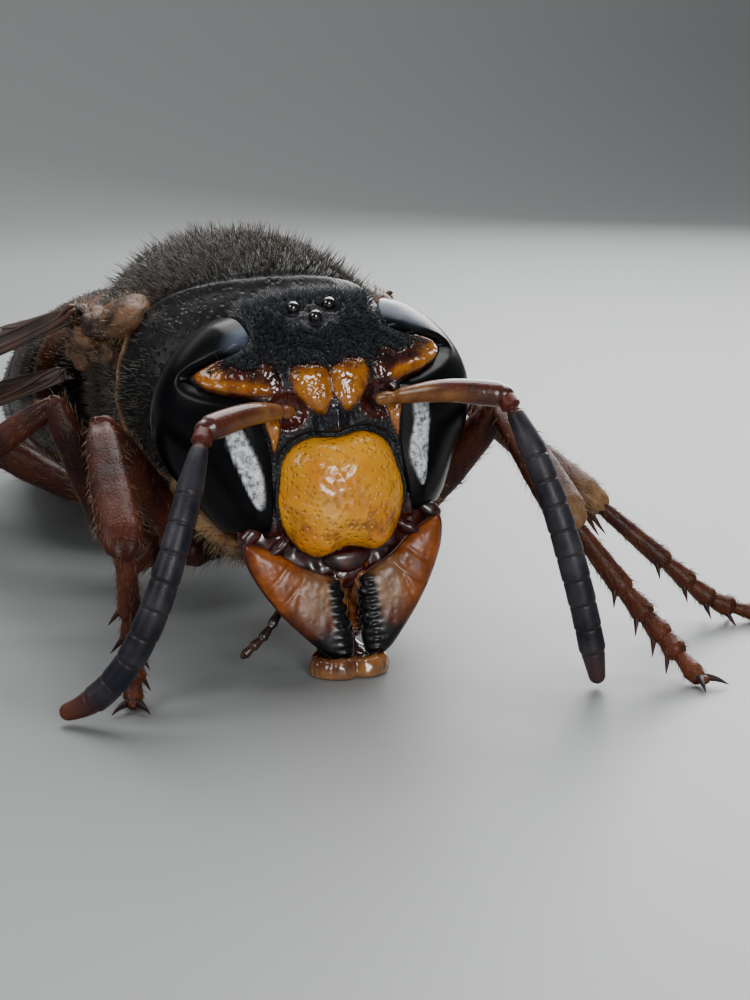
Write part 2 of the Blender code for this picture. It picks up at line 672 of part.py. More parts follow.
def tegula(side_name):
    side = SIDES[side_name]
    middle = TEGULA_MIDDLE * (side, 1.0, 1.0)

    def field(points):
        return ellipsoid_field(points, middle, TEGULA_HALF)
    cap = star_surface("tegula_" + side_name, field, middle, 10, 14, 2 * MM, "tegula")
    return cut(cap, grown_mesosoma())


def wing_width(share):
    """Width along the wing: a narrow root, broad past the middle, and a rounded tip."""
    return np.interp(share, [place for place, _ in WING_WIDTHS], [width for _, width in WING_WIDTHS])


def vein_height(row, column):
    """Height of the veins over the membrane at one point of the wing's grid."""
    on_long = row <= LONG_VEINS.get(column, -1.0) * (WING_ROWS - 1)
    on_cross = any(row == place and first <= column <= last for place, first, last in CROSS_VEINS)
    return VEIN_HEIGHT if on_long or on_cross else 0.0


def wing(kind, side_name):
    side = SIDES[side_name]
    sizes = WINGS[kind]
    spread = math.radians(sizes["spread"])
    droop = math.radians(sizes["droop"])
    along = np.array([side * math.sin(spread) * math.cos(droop), math.cos(spread) * math.cos(droop),
                      -math.sin(droop)])
    level = unit(np.cross(along, (0.0, 0.0, 1.0))) * side
    inward = -(level * math.cos(WING_ROLL)) + np.array([0.0, 0.0, math.sin(WING_ROLL)])
    inward = unit(inward - along * np.dot(inward, along))
    up = np.cross(along, inward) * side
    rings = []
    for row in range(WING_ROWS):
        share = row / (WING_ROWS - 1)
        wide = sizes["width"] * wing_width(share)
        edge = sizes["root"] * (side, 1.0, 1.0) + along * sizes["length"] * share
        upper = []
        lower = []
        for column, t in enumerate(WING_COLUMNS):
            spot = edge + inward * wide * (t - WING_HINGE) + up * WING_ARCH * math.sin(math.pi * t)
            upper.append(spot + up * (0.5 * WING_THICKNESS + vein_height(row, column)))
            lower.append(spot - up * 0.5 * WING_THICKNESS)
        rings.append(upper + lower[::-1])
    return ring_stack("%s_%s" % (kind, side_name), rings, "wing")


def gaster_middle(share):
    """Middle line of the gaster, arched a little and drooping to the tip."""
    line = GASTER_START + (GASTER_END - GASTER_START) * share
    return line + np.array([0.0, 0.0, GASTER_ARCH * math.sin(math.pi * share)]) * (1.0 - 0.3 * share)


def gaster_girth(share):
    """Share of the full half width: a blunt front, widest at a quarter, and a pointed end."""
    return np.interp(share, (0.0, 0.03, 0.09, 0.18, 0.3, 0.45, 0.6, 0.75, 0.88, 0.96, 1.0),
                     (0.22, 0.5, 0.8, 0.96, 1.0, 0.99, 0.9, 0.72, 0.46, 0.22, 0.07))


def gaster_ring(share, extra, count):
    middle = gaster_middle(share)
    along = unit(gaster_middle(share + 0.01) - gaster_middle(share - 0.01))
    up = unit(np.array([0.0, 0.0, 1.0]) - along * along[2])
    wide = GASTER_HALF_WIDTH * gaster_girth(share) + extra
    high = GASTER_HALF_HEIGHT * gaster_girth(share) + extra
    angles = np.arange(count) * 2.0 * math.pi / count
    across = np.array([1.0, 0.0, 0.0])
    return [middle + across * wide * math.cos(a) + up * high * math.sin(a) for a in angles]


def gaster_segment(number, count=18):
    start = GASTER_SEAMS[number - 1]
    end = GASTER_SEAMS[number]
    length = np.linalg.norm(GASTER_END - GASTER_START)
    if number > 1:
        start += 0.5 * GAP / length
    if number < len(GASTER_SEAMS) - 1:
        end -= 0.5 * GAP / length
    shares = np.linspace(start, end, 6 if number == 1 else 4)
    rings = []
    for share in shares:
        flare = GASTER_FLARE * ((share - start) / (end - start)) ** 2
        if number == len(GASTER_SEAMS) - 1:
            flare = 0.0
        rings.append(gaster_ring(share, flare, count))
    return ring_stack("gaster_%d" % number, rings, "gaster")


def petiole():
    rear = surface_along(mesosoma_field, mm(0, 9, 4.45), np.array([[0.0, 1.0, 0.0]]), 9 * MM)[0]
    path = np.linspace(rear - mm(0, 1.0, 0), GASTER_START - np.array([0, 1.5 * GAP, 0]), 4)
    neck = tube("petiole", path, [PETIOLE_RADIUS] * 4, "black", 12, domes=False)
    return cut(neck, grown_mesosoma())


def profile_tube(name, start, end, profile, girth, kind, sides):
    shares = [share for share, _ in profile]
    path = np.array([start + (end - start) * share for share in shares])
    radii = [radius * MM * girth for _, radius in profile]
    return tube(name, path, radii, kind, sides)


def joint_cut(made, joint, before, after, keep_before):
    """Cuts a leg piece square to the bend at a joint, half a gap back from it."""
    bend = unit(unit(joint - before) + unit(after - joint))
    sign = 1.0 if keep_before else -1.0
    return clip(made, joint - sign * bend * 0.5 * GAP, sign * bend)


def claws(foot, along, across):
    made = []
    for sign in (-1.0, 1.0):
        out = unit(along * math.cos(CLAW_SPREAD) + across * sign * math.sin(CLAW_SPREAD))
        root = foot - along * 0.12 * MM
        path = np.array([root, root + out * 0.5 * CLAW_LENGTH, root + out * CLAW_LENGTH])
        path[:, 2] = np.array([0.17, 0.18, 0.05]) * MM
        made.append(spike("claw", path, CLAW_RADIUS * np.array([1.0, 0.8]), "leg", 6))
    return made


def straight_spike(root, direction, length, radius):
    """A short stiff spine that narrows from its root to its tip."""
    path = np.array([root, root + direction * 0.55 * length, root + direction * length])
    return spike("spine", path, radius * np.array([1.0, 0.75]), "leg", 4)


def tarsal_spines(spot):
    """A pair under the end of each of the first four joints of the foot."""
    made = []
    for end in TARSOMERE_ENDS[:-1]:
        along = unit(spot(end) - spot(end - 0.05))
        across = unit(np.cross(along, (0.0, 0.0, 1.0)))
        above = np.cross(across, along)
        for sign in (-1.0, 1.0):
            forward, sideways, upward = TARSAL_SPINE_LEAN
            out = unit(forward * along + sign * sideways * across + upward * above)
            root = spot(end - 0.02) - along * TARSAL_SPINE["sink"] + across * sign * TARSAL_SPINE["apart"]
            made.append(straight_spike(root, out, TARSAL_SPINE["length"], TARSAL_SPINE["radius"]))
    return made


def tarsus(name, ankle, heel, toe, foot, tibia_end):
    """Five flared joints along the foot, their spines, two claws, and a small flat where it stands."""
    route = np.array([ankle, heel, toe, foot])
    lengths = np.concatenate([[0.0], np.cumsum(np.linalg.norm(np.diff(route, axis=0), axis=1))])
    lengths /= lengths[-1]

    def spot(share):
        return np.array([np.interp(share, lengths, route[:, k]) for k in range(3)])
    shares, radii = [], []
    start = 0.0
    for end in TARSOMERE_ENDS:
        for part, radius in ((0.05, TARSUS_NARROW), (0.95, TARSUS_FLARED)):
            shares.append(start + (end - start) * part)
            radii.append(radius)
        start = end
    radii[-1] = TARSUS_NARROW
    path = np.array([spot(share) for share in shares])
    chain = tube(name, path, radii, "leg", 8)
    joint_cut(chain, ankle, tibia_end, heel, False)
    along = unit((foot - toe) * (1.0, 1.0, 0.0))
    fused(chain, claws(foot, along, np.cross(along, (0.0, 0.0, 1.0))) + tarsal_spines(spot))
    return clip(chain, (0, 0, 0), (0, 0, -1))


def tibial_spurs(kind, side, knee, ankle):
    """Stiff spurs at the end of the tibia, on its inner lower side."""
    along = unit(ankle - knee)
    inner = np.array([-side, 0.0, -0.6])
    inner = unit(inner - along * np.dot(inner, along))
    across = np.cross(along, inner)
    made = []
    for turn in TIBIAL_SPURS[kind]:
        away = inner * math.cos(turn) + across * math.sin(turn)
        root = ankle - along * TIBIAL_SPUR["back"] + away * TIBIAL_SPUR["offset"]
        out = unit(TIBIAL_SPUR_LEAN[0] * along + TIBIAL_SPUR_LEAN[1] * away)
        made.append(straight_spike(root, out, TIBIAL_SPUR["length"], TIBIAL_SPUR["radius"]))
    return made


def leg(name):
    root, hip, knee, ankle, heel, toe, foot = [mm(*spot) for spot in LEGS[name]]
    kind, side_name = name.split("_")
    girth = LEG_GIRTH[kind]
    coxa = profile_tube("leg_%s_coxa" % name, root, hip, COXA_PROFILE, girth, "leg", 12)
    joint_cut(coxa, hip, root, knee, True)
    cut(coxa, grown_mesosoma())
    femur = profile_tube("leg_%s_femur" % name, hip, knee, FEMUR_PROFILE, girth, "leg", 10)
    joint_cut(femur, hip, root, knee, False)
    joint_cut(femur, knee, hip, ankle, True)
    tibia = profile_tube("leg_%s_tibia" % name, knee, ankle, TIBIA_PROFILE, girth, "leg", 10)
    joint_cut(tibia, knee, hip, ankle, False)
    joint_cut(tibia, ankle, knee, heel, True)
    fused(tibia, tibial_spurs(kind, SIDES[side_name], knee, ankle))
    tarsus("leg_%s_tarsus" % name, ankle, heel, toe, foot, knee)


def build():
    head()
    for side_name in SIDES:
        eye(side_name)
        mandible(side_name)
        antenna(side_name)
        tegula(side_name)
        for kind in WINGS:
            wing(kind, side_name)
    clypeus()
    tongue()
    pronotum()
    mesothorax()
    scutellum()
    propodeum()
    petiole()
    for number in range(1, len(GASTER_SEAMS)):
        gaster_segment(number)
    for name in LEGS:
        leg(name)


def stand_on_origin():
    """Parents all pieces to one empty and sets the middle of the hornet's outline over the origin."""
    bpy.context.view_layer.update()
    pieces = [made for made in bpy.data.objects if made.type == "MESH"]
    corners = np.array([made.matrix_world @ vertex.co for made in pieces for vertex in made.data.vertices])
    middle = 0.5 * (corners.min(axis=0) + corners.max(axis=0))
    body = bpy.data.objects.new("hornet", None)
    neck = bpy.data.objects.new("head_place", None)
    bpy.context.scene.collection.objects.link(body)
    bpy.context.scene.collection.objects.link(neck)
    neck.parent = body
    neck.matrix_local = head_place()
    for made in pieces:
        turned = made.matrix_world != Matrix.Identity(4)
        made.parent = neck if turned else body
        made.matrix_local = Matrix.Identity(4)
        made.data.shade_smooth()
        made.data.set_sharp_from_angle(angle=math.radians(40.0))
    body.location = (-middle[0], -middle[1], 0.0)


for old in list(bpy.data.objects):
    bpy.data.objects.remove(old)
build()
stand_on_origin()
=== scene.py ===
import math

import bpy
import numpy as np
from mathutils import Euler, Matrix, Vector, noise


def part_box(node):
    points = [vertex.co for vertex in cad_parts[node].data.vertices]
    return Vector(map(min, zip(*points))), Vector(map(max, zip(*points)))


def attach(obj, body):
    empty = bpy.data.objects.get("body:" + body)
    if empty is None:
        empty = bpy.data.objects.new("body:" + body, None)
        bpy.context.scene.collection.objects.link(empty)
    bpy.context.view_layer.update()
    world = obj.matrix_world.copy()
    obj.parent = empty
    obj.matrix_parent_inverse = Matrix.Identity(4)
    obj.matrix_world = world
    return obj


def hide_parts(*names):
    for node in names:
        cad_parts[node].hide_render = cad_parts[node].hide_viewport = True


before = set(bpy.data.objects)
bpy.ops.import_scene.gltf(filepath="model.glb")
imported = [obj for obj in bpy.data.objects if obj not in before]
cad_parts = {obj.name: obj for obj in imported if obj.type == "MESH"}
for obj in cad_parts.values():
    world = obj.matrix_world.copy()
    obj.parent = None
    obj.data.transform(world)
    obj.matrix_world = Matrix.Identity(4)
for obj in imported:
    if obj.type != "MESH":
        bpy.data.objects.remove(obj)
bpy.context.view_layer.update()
print("frame loaded:", len(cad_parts), "nodes")

mm = 0.001
padLow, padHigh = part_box("tongue")
# the sizes below count from here
origin = np.array([(padLow.x + padHigh.x) / 2, padLow.y + 0.43 * mm, 0.0]) / mm
sides = {"right": -1.0, "left": 1.0}


# small maths, all in millimetres

def unit(vectors):
    vectors = np.asarray(vectors, dtype=float)
    return vectors / np.maximum(np.linalg.norm(vectors, axis=-1, keepdims=True), 1e-12)


def step(low, high, values):
    t = np.clip((np.asarray(values, dtype=float) - low) / (high - low), 0.0, 1.0)
    return t * t * (3 - 2 * t)


def bell(values, middle, spread):
    return np.exp(-((np.asarray(values) - middle) / spread) ** 2)


def softUnion(a, b, softness):
    h = np.clip(0.5 + 0.5 * (b - a) / softness, 0.0, 1.0)
    return b * (1 - h) + a * h - softness * h * (1 - h)


def ellipsoid(points, middle, half):
    half = np.array(half)
    return (np.linalg.norm((points - np.array(middle)) / half, axis=-1) - 1.0) * half.min()


def surfaceAlong(field, start, ways, far, steps=24):
    low = np.zeros(ways.shape[:-1])
    high = np.full(ways.shape[:-1], float(far))
    for _ in range(steps):
        middle = 0.5 * (low + high)
        inside = field(start + ways * middle[..., None]) < 0.0
        low = np.where(inside, middle, low)
        high = np.where(inside, high, middle)
    return start + ways * low[..., None]


def starWays(slopes, columns):  # directions all round, in rings about the length of the body
    angles = np.arange(columns) * 2 * math.pi / columns
    sine = np.sin(slopes)[:, None]
    along = np.broadcast_to(-np.cos(slopes)[:, None], (len(slopes), columns))
    return np.stack([np.cos(angles) * sine, along, np.sin(angles) * sine], axis=-1)


def curveThrough(a, b, c, d, t):  # from b to c, with a and d as the neighbours
    return 0.5 * (2 * b + (c - a) * t + (2 * a - 5 * b + 4 * c - d) * t ** 2
                  + (3 * b - a - 3 * c + d) * t ** 3)


def smoothRing(points, count):
    points = np.array(points, dtype=float)
    total = len(points)
    place = np.arange(count) * total / count
    i = place.astype(int)
    t = (place - i)[:, None]
    return curveThrough(*(points[(i + shift) % total] for shift in (-1, 0, 1, 2)), t)


def smoothPath(points, count):
    points = np.array(points, dtype=float)
    padded = np.vstack([2 * points[0] - points[1], points, 2 * points[-1] - points[-2]])
    place = np.linspace(0, len(points) - 1, count)
    i = np.minimum(place.astype(int), len(points) - 2)
    t = (place - i)[:, None]
    return curveThrough(*(padded[i + shift] for shift in range(4)), t)


def fanOut(outline, middle, shares):  # the outline shrunk towards its middle, one ring for each share
    flat = np.array(middle) + (outline - np.array(middle)) * shares[:, None, None]
    return flat, np.broadcast_to(shares[:, None], flat.shape[:2])


def insideBy(spots, outline):  # distance to a closed outline, above zero inside it
    flat = spots.reshape(-1, 2)
    best = np.full(len(flat), 1e9)
    crossings = np.zeros(len(flat), dtype=int)
    for a, b in zip(outline, np.roll(outline, -1, axis=0)):
        edge = b - a
        t = np.clip(((flat - a) @ edge) / max(edge @ edge, 1e-12), 0.0, 1.0)
        best = np.minimum(best, np.linalg.norm(flat - a - t[:, None] * edge, axis=1))
        if a[1] != b[1]:
            spans = (a[1] > flat[:, 1]) != (b[1] > flat[:, 1])
            crossings += spans & (flat[:, 0] < (b[0] - a[0]) * (flat[:, 1] - a[1]) / (b[1] - a[1]) + a[0])
    return (best * np.where(crossings % 2 == 1, 1.0, -1.0)).reshape(spots.shape[:-1])


def roughness(points, size, seed=0.0):  # smooth random values, about -1 to 1, with lumps of this size
    flat = points.reshape(-1, 3) / size + seed
    return np.array([noise.noise(Vector(spot)) for spot in flat]).reshape(points.shape[:-1])


def normalsOf(rings):
    around = np.roll(rings, -1, axis=1) - np.roll(rings, 1, axis=1)
    along = np.gradient(rings, axis=0)
    normals = unit(np.cross(around, along))
    outward = rings - rings.mean(axis=1, keepdims=True)
    return normals * np.where((normals * outward).sum() < 0, -1.0, 1.0)


# pieces: every surface is a stack of rings, closed at both ends

def closedFaces(rows, columns, offset=0):
    i, j = np.meshgrid(np.arange(rows - 1), np.arange(columns), indexing="ij")
    n = (j + 1) % columns
    quads = np.stack([i * columns + j, i * columns + n, (i + 1) * columns + n, (i + 1) * columns + j],
                     axis=-1)
    first, last = rows * columns, rows * columns + 1
    faces = (quads.reshape(-1, 4) + offset).tolist()
    for k in range(columns):
        m = (k + 1) % columns
        faces.append([m + offset, k + offset, first + offset])
        faces.append([(rows - 1) * columns + k + offset, (rows - 1) * columns + m + offset, last + offset])
    return faces


def addPiece(name, stacks, material, replaced=(), masks=None, place=None):
    # stacks is a list of ring grids; masks maps a name to one value grid for each stack
    points, faces, values = [], [], {key: [] for key in masks or {}}
    offset = 0
    for number, rings in enumerate(stacks):
        rows, columns = rings.shape[:2]
        middle = rows // 2
        turn = np.cross(np.roll(rings, -1, axis=1)[middle] - rings[middle], rings[middle + 1] - rings[middle])
        outward = (turn * (rings[middle] - rings[middle].mean(axis=0))).sum() > 0
        block = closedFaces(rows, columns, offset)
        faces += block if outward else [face[::-1] for face in block]
        ends = np.stack([rings[0].mean(axis=0), rings[-1].mean(axis=0)])
        points.append(np.vstack([rings.reshape(-1, 3), ends]))
        offset += rows * columns + 2
        for key in values:
            grid = masks[key][number]
            values[key] += [grid.ravel(), [grid[0].mean(), grid[-1].mean()]]
    points = np.vstack(points)
    if place is not None:
        points = points @ np.array(place.to_3x3()).T + np.array(place.translation)
    points[:, 2] = np.maximum(points[:, 2], 0.0)  # nothing sinks into the floor
    mesh = bpy.data.meshes.new(name)
    mesh.from_pydata(((points + origin) * mm).tolist(), [], faces)
    mesh.shade_smooth()
    for key, grids in values.items():
        made = mesh.attributes.new(key, "FLOAT", "POINT")
        made.data.foreach_set("value", np.concatenate(grids).astype(np.float32))
    mesh.materials.append(material)
    piece = bpy.data.objects.new(name, mesh)
    bpy.context.scene.collection.objects.link(piece)
    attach(piece, "root")
    if replaced:
        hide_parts(*replaced)
    return piece


def alone(masks):  # the masks of a piece that is one stack
    return {key: [grid] for key, grid in masks.items()}


def framesAlong(path):
    steps = np.gradient(path, axis=0)
    ways = unit(steps)
    across = unit(np.cross(ways[0], (0.0, 0.0, 1.0) if abs(ways[0][2]) < 0.9 else (1.0, 0.0, 0.0)))
    result = []
    for way in ways:
        across = unit(across - way * np.dot(across, way))
        result.append((across, np.cross(way, across)))
    return np.array(result)


def tubeRings(path, wide, deep=None, sides=20, round=True, relief=None):
    # rings along a path; round ends close it like a finger
    path = np.array(path, dtype=float)
    wide = np.broadcast_to(np.array(wide, dtype=float), len(path))
    deep = wide if deep is None else np.broadcast_to(np.array(deep, dtype=float), len(path))
    if round:
        first, last = unit(path[0] - path[1]), unit(path[-1] - path[-2])
        caps = np.radians((12.0, 32.0, 52.0, 72.0, 86.0))
        head = [(path[0] + first * wide[0] * math.sin(a), math.cos(a)) for a in caps[::-1]]
        tail = [(path[-1] + last * wide[-1] * math.sin(a), math.cos(a)) for a in caps]
        path = np.vstack([[spot for spot, _ in head], path, [spot for spot, _ in tail]])
        wide = np.concatenate([[wide[0] * c for _, c in head], wide, [wide[-1] * c for _, c in tail]])
        deep = np.concatenate([[deep[0] * c for _, c in head], deep, [deep[-1] * c for _, c in tail]])
    axes = framesAlong(path)
    angles = np.arange(sides) * 2 * math.pi / sides
    rings = (path[:, None] + axes[:, None, 0] * (wide[:, None] * np.cos(angles))[..., None]
             + axes[:, None, 1] * (deep[:, None] * np.sin(angles))[..., None])
    if relief is not None:
        rings = rings + normalsOf(rings) * relief(rings)[..., None]
    return rings


def spikeRings(root, way, length, radius, bend=(0.0, 0.0, 0.0), sides=8, count=7):
    t = np.linspace(0, 1, count)[:, None]
    path = np.array(root) + np.array(way) * length * t + np.array(bend) * length * t ** 2
    return tubeRings(path, radius * (1 - t[:, 0] ** 1.5) + radius * 0.06, sides=sides, round=False)


def domeRings(middle, half, turn=(0.0, 0.0, 0.0), rows=40, columns=60, relief=None):
    slopes = np.linspace(0.04, math.pi - 0.04, rows)[:, None]
    angles = np.arange(columns) * 2 * math.pi / columns
    ball = np.stack([np.sin(slopes) * np.cos(angles), np.sin(slopes) * np.sin(angles),
                     np.broadcast_to(np.cos(slopes), (rows, columns))], axis=-1)
    rings = ball * np.array(half)
    rings = rings @ np.array(Euler([math.radians(a) for a in turn]).to_matrix()).T + np.array(middle)
    if relief is not None:
        rings = rings + normalsOf(rings) * relief(rings)[..., None]
    return rings


# shader nodes

def addNode(tree, kind, inputs=None, **settings):
    node = tree.nodes.new("ShaderNode" + kind)
    for key, value in settings.items():
        setattr(node, key, value)
    for key, value in (inputs or {}).items():
        if isinstance(value, bpy.types.NodeSocket):
            tree.links.new(value, node.inputs[key])
        else:
            node.inputs[key].default_value = value
    return node


def mixColours(tree, share, first, second, blend="MIX"):
    node = addNode(tree, "Mix", data_type="RGBA", blend_type=blend)
    for socket, value in ((node.inputs[0], share), (node.inputs[6], first), (node.inputs[7], second)):
        if isinstance(value, bpy.types.NodeSocket):
            tree.links.new(value, socket)
        else:
            socket.default_value = value
    return node.outputs[2]


def calculate(tree, operation, first, second=None, clamp=False):
    node = addNode(tree, "Math", operation=operation, use_clamp=clamp)
    for socket, value in zip(node.inputs, (first, second)):
        if isinstance(value, bpy.types.NodeSocket):
            tree.links.new(value, socket)
        elif value is not None:
            socket.default_value = value
    return node.outputs[0]


def spread(tree, value, low, high, toLow=0.0, toHigh=1.0):
    node = addNode(tree, "MapRange", {"Value": value, "From Min": low, "From Max": high, "To Min": toLow,
                                      "To Max": toHigh})
    return node.outputs["Result"]


def newGroup(name, sockets):
    tree = bpy.data.node_groups.new(name, "ShaderNodeTree")
    for label, way, kind, value in sockets:
        socket = tree.interface.new_socket(name=label, in_out=way, socket_type="NodeSocket" + kind)
        if way == "INPUT":
            socket.default_value = value
    return tree, tree.nodes.new("NodeGroupInput"), tree.nodes.new("NodeGroupOutput")


def useGroup(tree, name, inputs):
    node = tree.nodes.new("ShaderNodeGroup")
    node.node_tree = bpy.data.node_groups[name]
    for key, value in inputs.items():
        if isinstance(value, bpy.types.NodeSocket):
            tree.links.new(value, node.inputs[key])
        else:
            node.inputs[key].default_value = value
    return node.outputs


def buildPits():  # round pits pressed into a shell, Size in pits for each metre
    tree, given, result = newGroup("shellPits", [
        ("Size", "INPUT", "Float", 8000.0), ("Wrinkle", "INPUT", "Float", 0.3),
        ("Height", "OUTPUT", "Float", 0.0), ("Pits", "OUTPUT", "Float", 0.0)])
    where = addNode(tree, "TexCoord").outputs["Object"]
    cells = addNode(tree, "TexVoronoi", {"Vector": where, "Scale": given.outputs["Size"]}, feature="F1")
    pits = spread(tree, cells.outputs["Distance"], 0.12, 0.42)
    half = calculate(tree, "MULTIPLY", given.outputs["Size"], 0.5)
    waves = addNode(tree, "TexNoise", {"Vector": where, "Scale": half, "Detail": 4.0, "Roughness": 0.6})
    wrinkle = calculate(tree, "MULTIPLY", waves.outputs["Fac"], given.outputs["Wrinkle"])
    tree.links.new(calculate(tree, "ADD", pits, wrinkle), result.inputs["Height"])
    tree.links.new(calculate(tree, "SUBTRACT", 1.0, pits, clamp=True), result.inputs["Pits"])


def buildMottle():  # cloudy change from one colour to another
    tree, given, result = newGroup("mottle", [
        ("First", "INPUT", "Color", (1, 1, 1, 1)), ("Second", "INPUT", "Color", (0, 0, 0, 1)),
        ("Size", "INPUT", "Float", 1000.0), ("Low", "INPUT", "Float", 0.4), ("High", "INPUT", "Float", 0.6),
        ("Color", "OUTPUT", "Color", None), ("Mask", "OUTPUT", "Float", 0.0)])
    where = addNode(tree, "TexCoord").outputs["Object"]
    clouds = addNode(tree, "TexNoise", {"Vector": where, "Scale": given.outputs["Size"], "Detail": 5.0,
                                        "Roughness": 0.6})
    share = addNode(tree, "MapRange", {"Value": clouds.outputs["Fac"], "From Min": given.outputs["Low"],
                                       "From Max": given.outputs["High"]}).outputs["Result"]
    colour = mixColours(tree, share, given.outputs["First"], given.outputs["Second"])
    tree.links.new(colour, result.inputs["Color"])
    tree.links.new(share, result.inputs["Mask"])


def buildHairTint():  # each hair its own shade, paler towards its tip
    tree, given, result = newGroup("hairTint", [
        ("Root", "INPUT", "Color", (0, 0, 0, 1)), ("Tip", "INPUT", "Color", (1, 1, 1, 1)),
        ("Variety", "INPUT", "Float", 0.5), ("Color", "OUTPUT", "Color", None)])
    along = addNode(tree, "Attribute", attribute_name="hairAlong").outputs["Fac"]
    shade = addNode(tree, "Attribute", attribute_name="hairShade").outputs["Fac"]
    colour = mixColours(tree, along, given.outputs["Root"], given.outputs["Tip"])
    swing = calculate(tree, "MULTIPLY", calculate(tree, "SUBTRACT", shade, 0.5), given.outputs["Variety"])
    bright = calculate(tree, "ADD", swing, 1.0)
    grey = addNode(tree, "CombineColor", {"Red": bright, "Green": bright, "Blue": bright}).outputs[0]
    tree.links.new(mixColours(tree, 1.0, colour, grey, "MULTIPLY"), result.inputs["Color"])


def newMaterial(name, **plain):
    material = bpy.data.materials.new(name)
    material.use_nodes = True
    tree = material.node_tree
    shader = tree.nodes["Principled BSDF"]
    for key, value in plain.items():
        shader.inputs[key.replace("_", " ")].default_value = value
    return material, tree, shader


def feed(tree, shader, **links):
    for key, value in links.items():
        tree.links.new(value, shader.inputs[key.replace("_", " ")])


def mottled(tree, first, second, size, low=0.4, high=0.6):
    return useGroup(tree, "mottle", {"First": rgb(*first), "Second": rgb(*second), "Size": size, "Low": low,
                                     "High": high})["Color"]


def bumpFrom(tree, height, strength, distance):
    node = addNode(tree, "Bump", {"Height": height, "Strength": strength, "Distance": distance})
    return node.outputs["Normal"]


def maskOf(tree, name):
    return addNode(tree, "Attribute", attribute_name=name).outputs["Fac"]


def rgb(red, green, blue):
    return (red, green, blue, 1.0)


def mottledMaterial(name, *mottle, **plain):
    material, tree, shader = newMaterial(name, **plain)
    feed(tree, shader, Base_Color=mottled(tree, *mottle))
    return material


def shellMaterial(name, grain, base, layers, rough, bump, **plain):
    # a pitted shell: each layer is a mask, the colour or mottle it lays over the base, and how much of it
    material, tree, shader = newMaterial(name, **plain)
    pits = useGroup(tree, "shellPits", {"Size": grain[0], "Wrinkle": grain[1]})
    colour = mottled(tree, *base)
    for mask, over, share in layers:
        cover = maskOf(tree, mask)
        if share < 1.0:
            cover = calculate(tree, "MULTIPLY", cover, share)
        colour = mixColours(tree, cover, colour, rgb(*over) if np.isscalar(over[0]) else mottled(tree, *over))
    feed(tree, shader, Base_Color=colour, Normal=bumpFrom(tree, pits["Height"], *bump),
         Roughness=spread(tree, pits["Pits"], 0.0, 1.0, *rough))
    return material


buildPits()
buildMottle()
buildHairTint()
print("shader groups ready")


# the head: placed in the hornet, everything on it in its own millimetres

head = {
    "middle": (-0.05, 2.0, 5.15), "turn": -5.0,
    "craniumMiddle": (0.0, 0.15, 0.35), "craniumHalf": (3.35, 1.85, 2.45),
    "faceMiddle": (0.0, -0.35, -1.45), "faceHalf": (2.35, 1.45, 1.35),
    "back": 1.5, "softness": 0.5, "frontRows": 208, "backRows": 36, "columns": 404,
    "lobeRise": 0.14, "plateRise": 0.09, "socket": (1.0, 0.5), "socketDepth": 0.24,
    "lobe": ((0.02, 0.76), (0.02, 1.2), (0.12, 1.34), (0.34, 1.4), (0.58, 1.43), (0.8, 1.36), (0.83, 1.06),
             (0.7, 0.74), (0.48, 0.48), (0.28, 0.36), (0.12, 0.54)),
    "plate": ((2.66, 1.36), (2.46, 1.54), (2.12, 1.68), (1.88, 1.5), (1.6, 1.42), (1.34, 1.6), (1.12, 1.46),
              (1.02, 1.08), (1.14, 0.86), (1.6, 0.84), (2.1, 0.94), (2.5, 1.12)),
    "corner": ((1.18, 0.36), (1.5, 0.36), (1.42, 0.02), (1.36, -0.34), (1.24, -0.1)),
}
headPlace = (Matrix.Translation(Vector(head["middle"]))
             @ Euler([math.radians(head["turn"])] * 3, "YXZ").to_matrix().to_4x4())
headTurn = np.array(headPlace.to_3x3())


def fromHead(points):
    return np.asarray(points) @ headTurn.T + np.array(head["middle"])


def headField(points):
    skull = ellipsoid(points, head["craniumMiddle"], head["craniumHalf"])
    face = ellipsoid(points, head["faceMiddle"], head["faceHalf"])
    whole = softUnion(skull, face, head["softness"])
    return -softUnion(-whole, head["back"] - points[..., 1], head["softness"])


eyes = {
    "angle": math.radians(60.0), "middle": (0.83, 0.2), "half": (1.35, 2.3), "fullness": 2.3,
    "notch": ((0.74, 0.0), (0.82, 0.12), (0.9, 0.42), (1.05, 0.86), (1.22, 1.2), (1.36, 1.34), (1.48, 1.16),
              (1.62, 0.78), (1.8, 0.34), (1.95, 0.08), (2.1, 0.0)),
    "proud": 0.12, "sunk": 0.24, "roll": 0.2, "rows": 130, "columns": 70,
    "corner": 6.0,
    # painted reflections: pale speckled streaks on the lower eyes, painted into the eye colour
    "reflectionStreaks": {"right": ((-0.03, 0.24), (-0.26, 0.32), (-0.39, -0.26), (-0.46, -1.03), (-0.4, -1.5),
                         (-0.22, -1.15), (-0.03, -0.38)),
               "left": ((-0.42, 0.42), (-0.18, 0.36), (-0.15, 0.09), (-0.13, -0.67), (-0.34, -1.47),
                        (-0.47, -0.91), (-0.42, -0.16))},
    # painted sheen: soft bluish patches on the upper eye lobes, painted into the eye colour
    "reflectionSheens": {"right": ((0.12, 1.9), (0.23, 2.2), (0.12, 2.42), (-0.1, 2.25), (-0.2, 1.95)),
              "left": ((0.15, 2.4), (0.45, 2.42), (0.75, 2.0), (0.45, 1.88), (0.14, 2.1))},
}


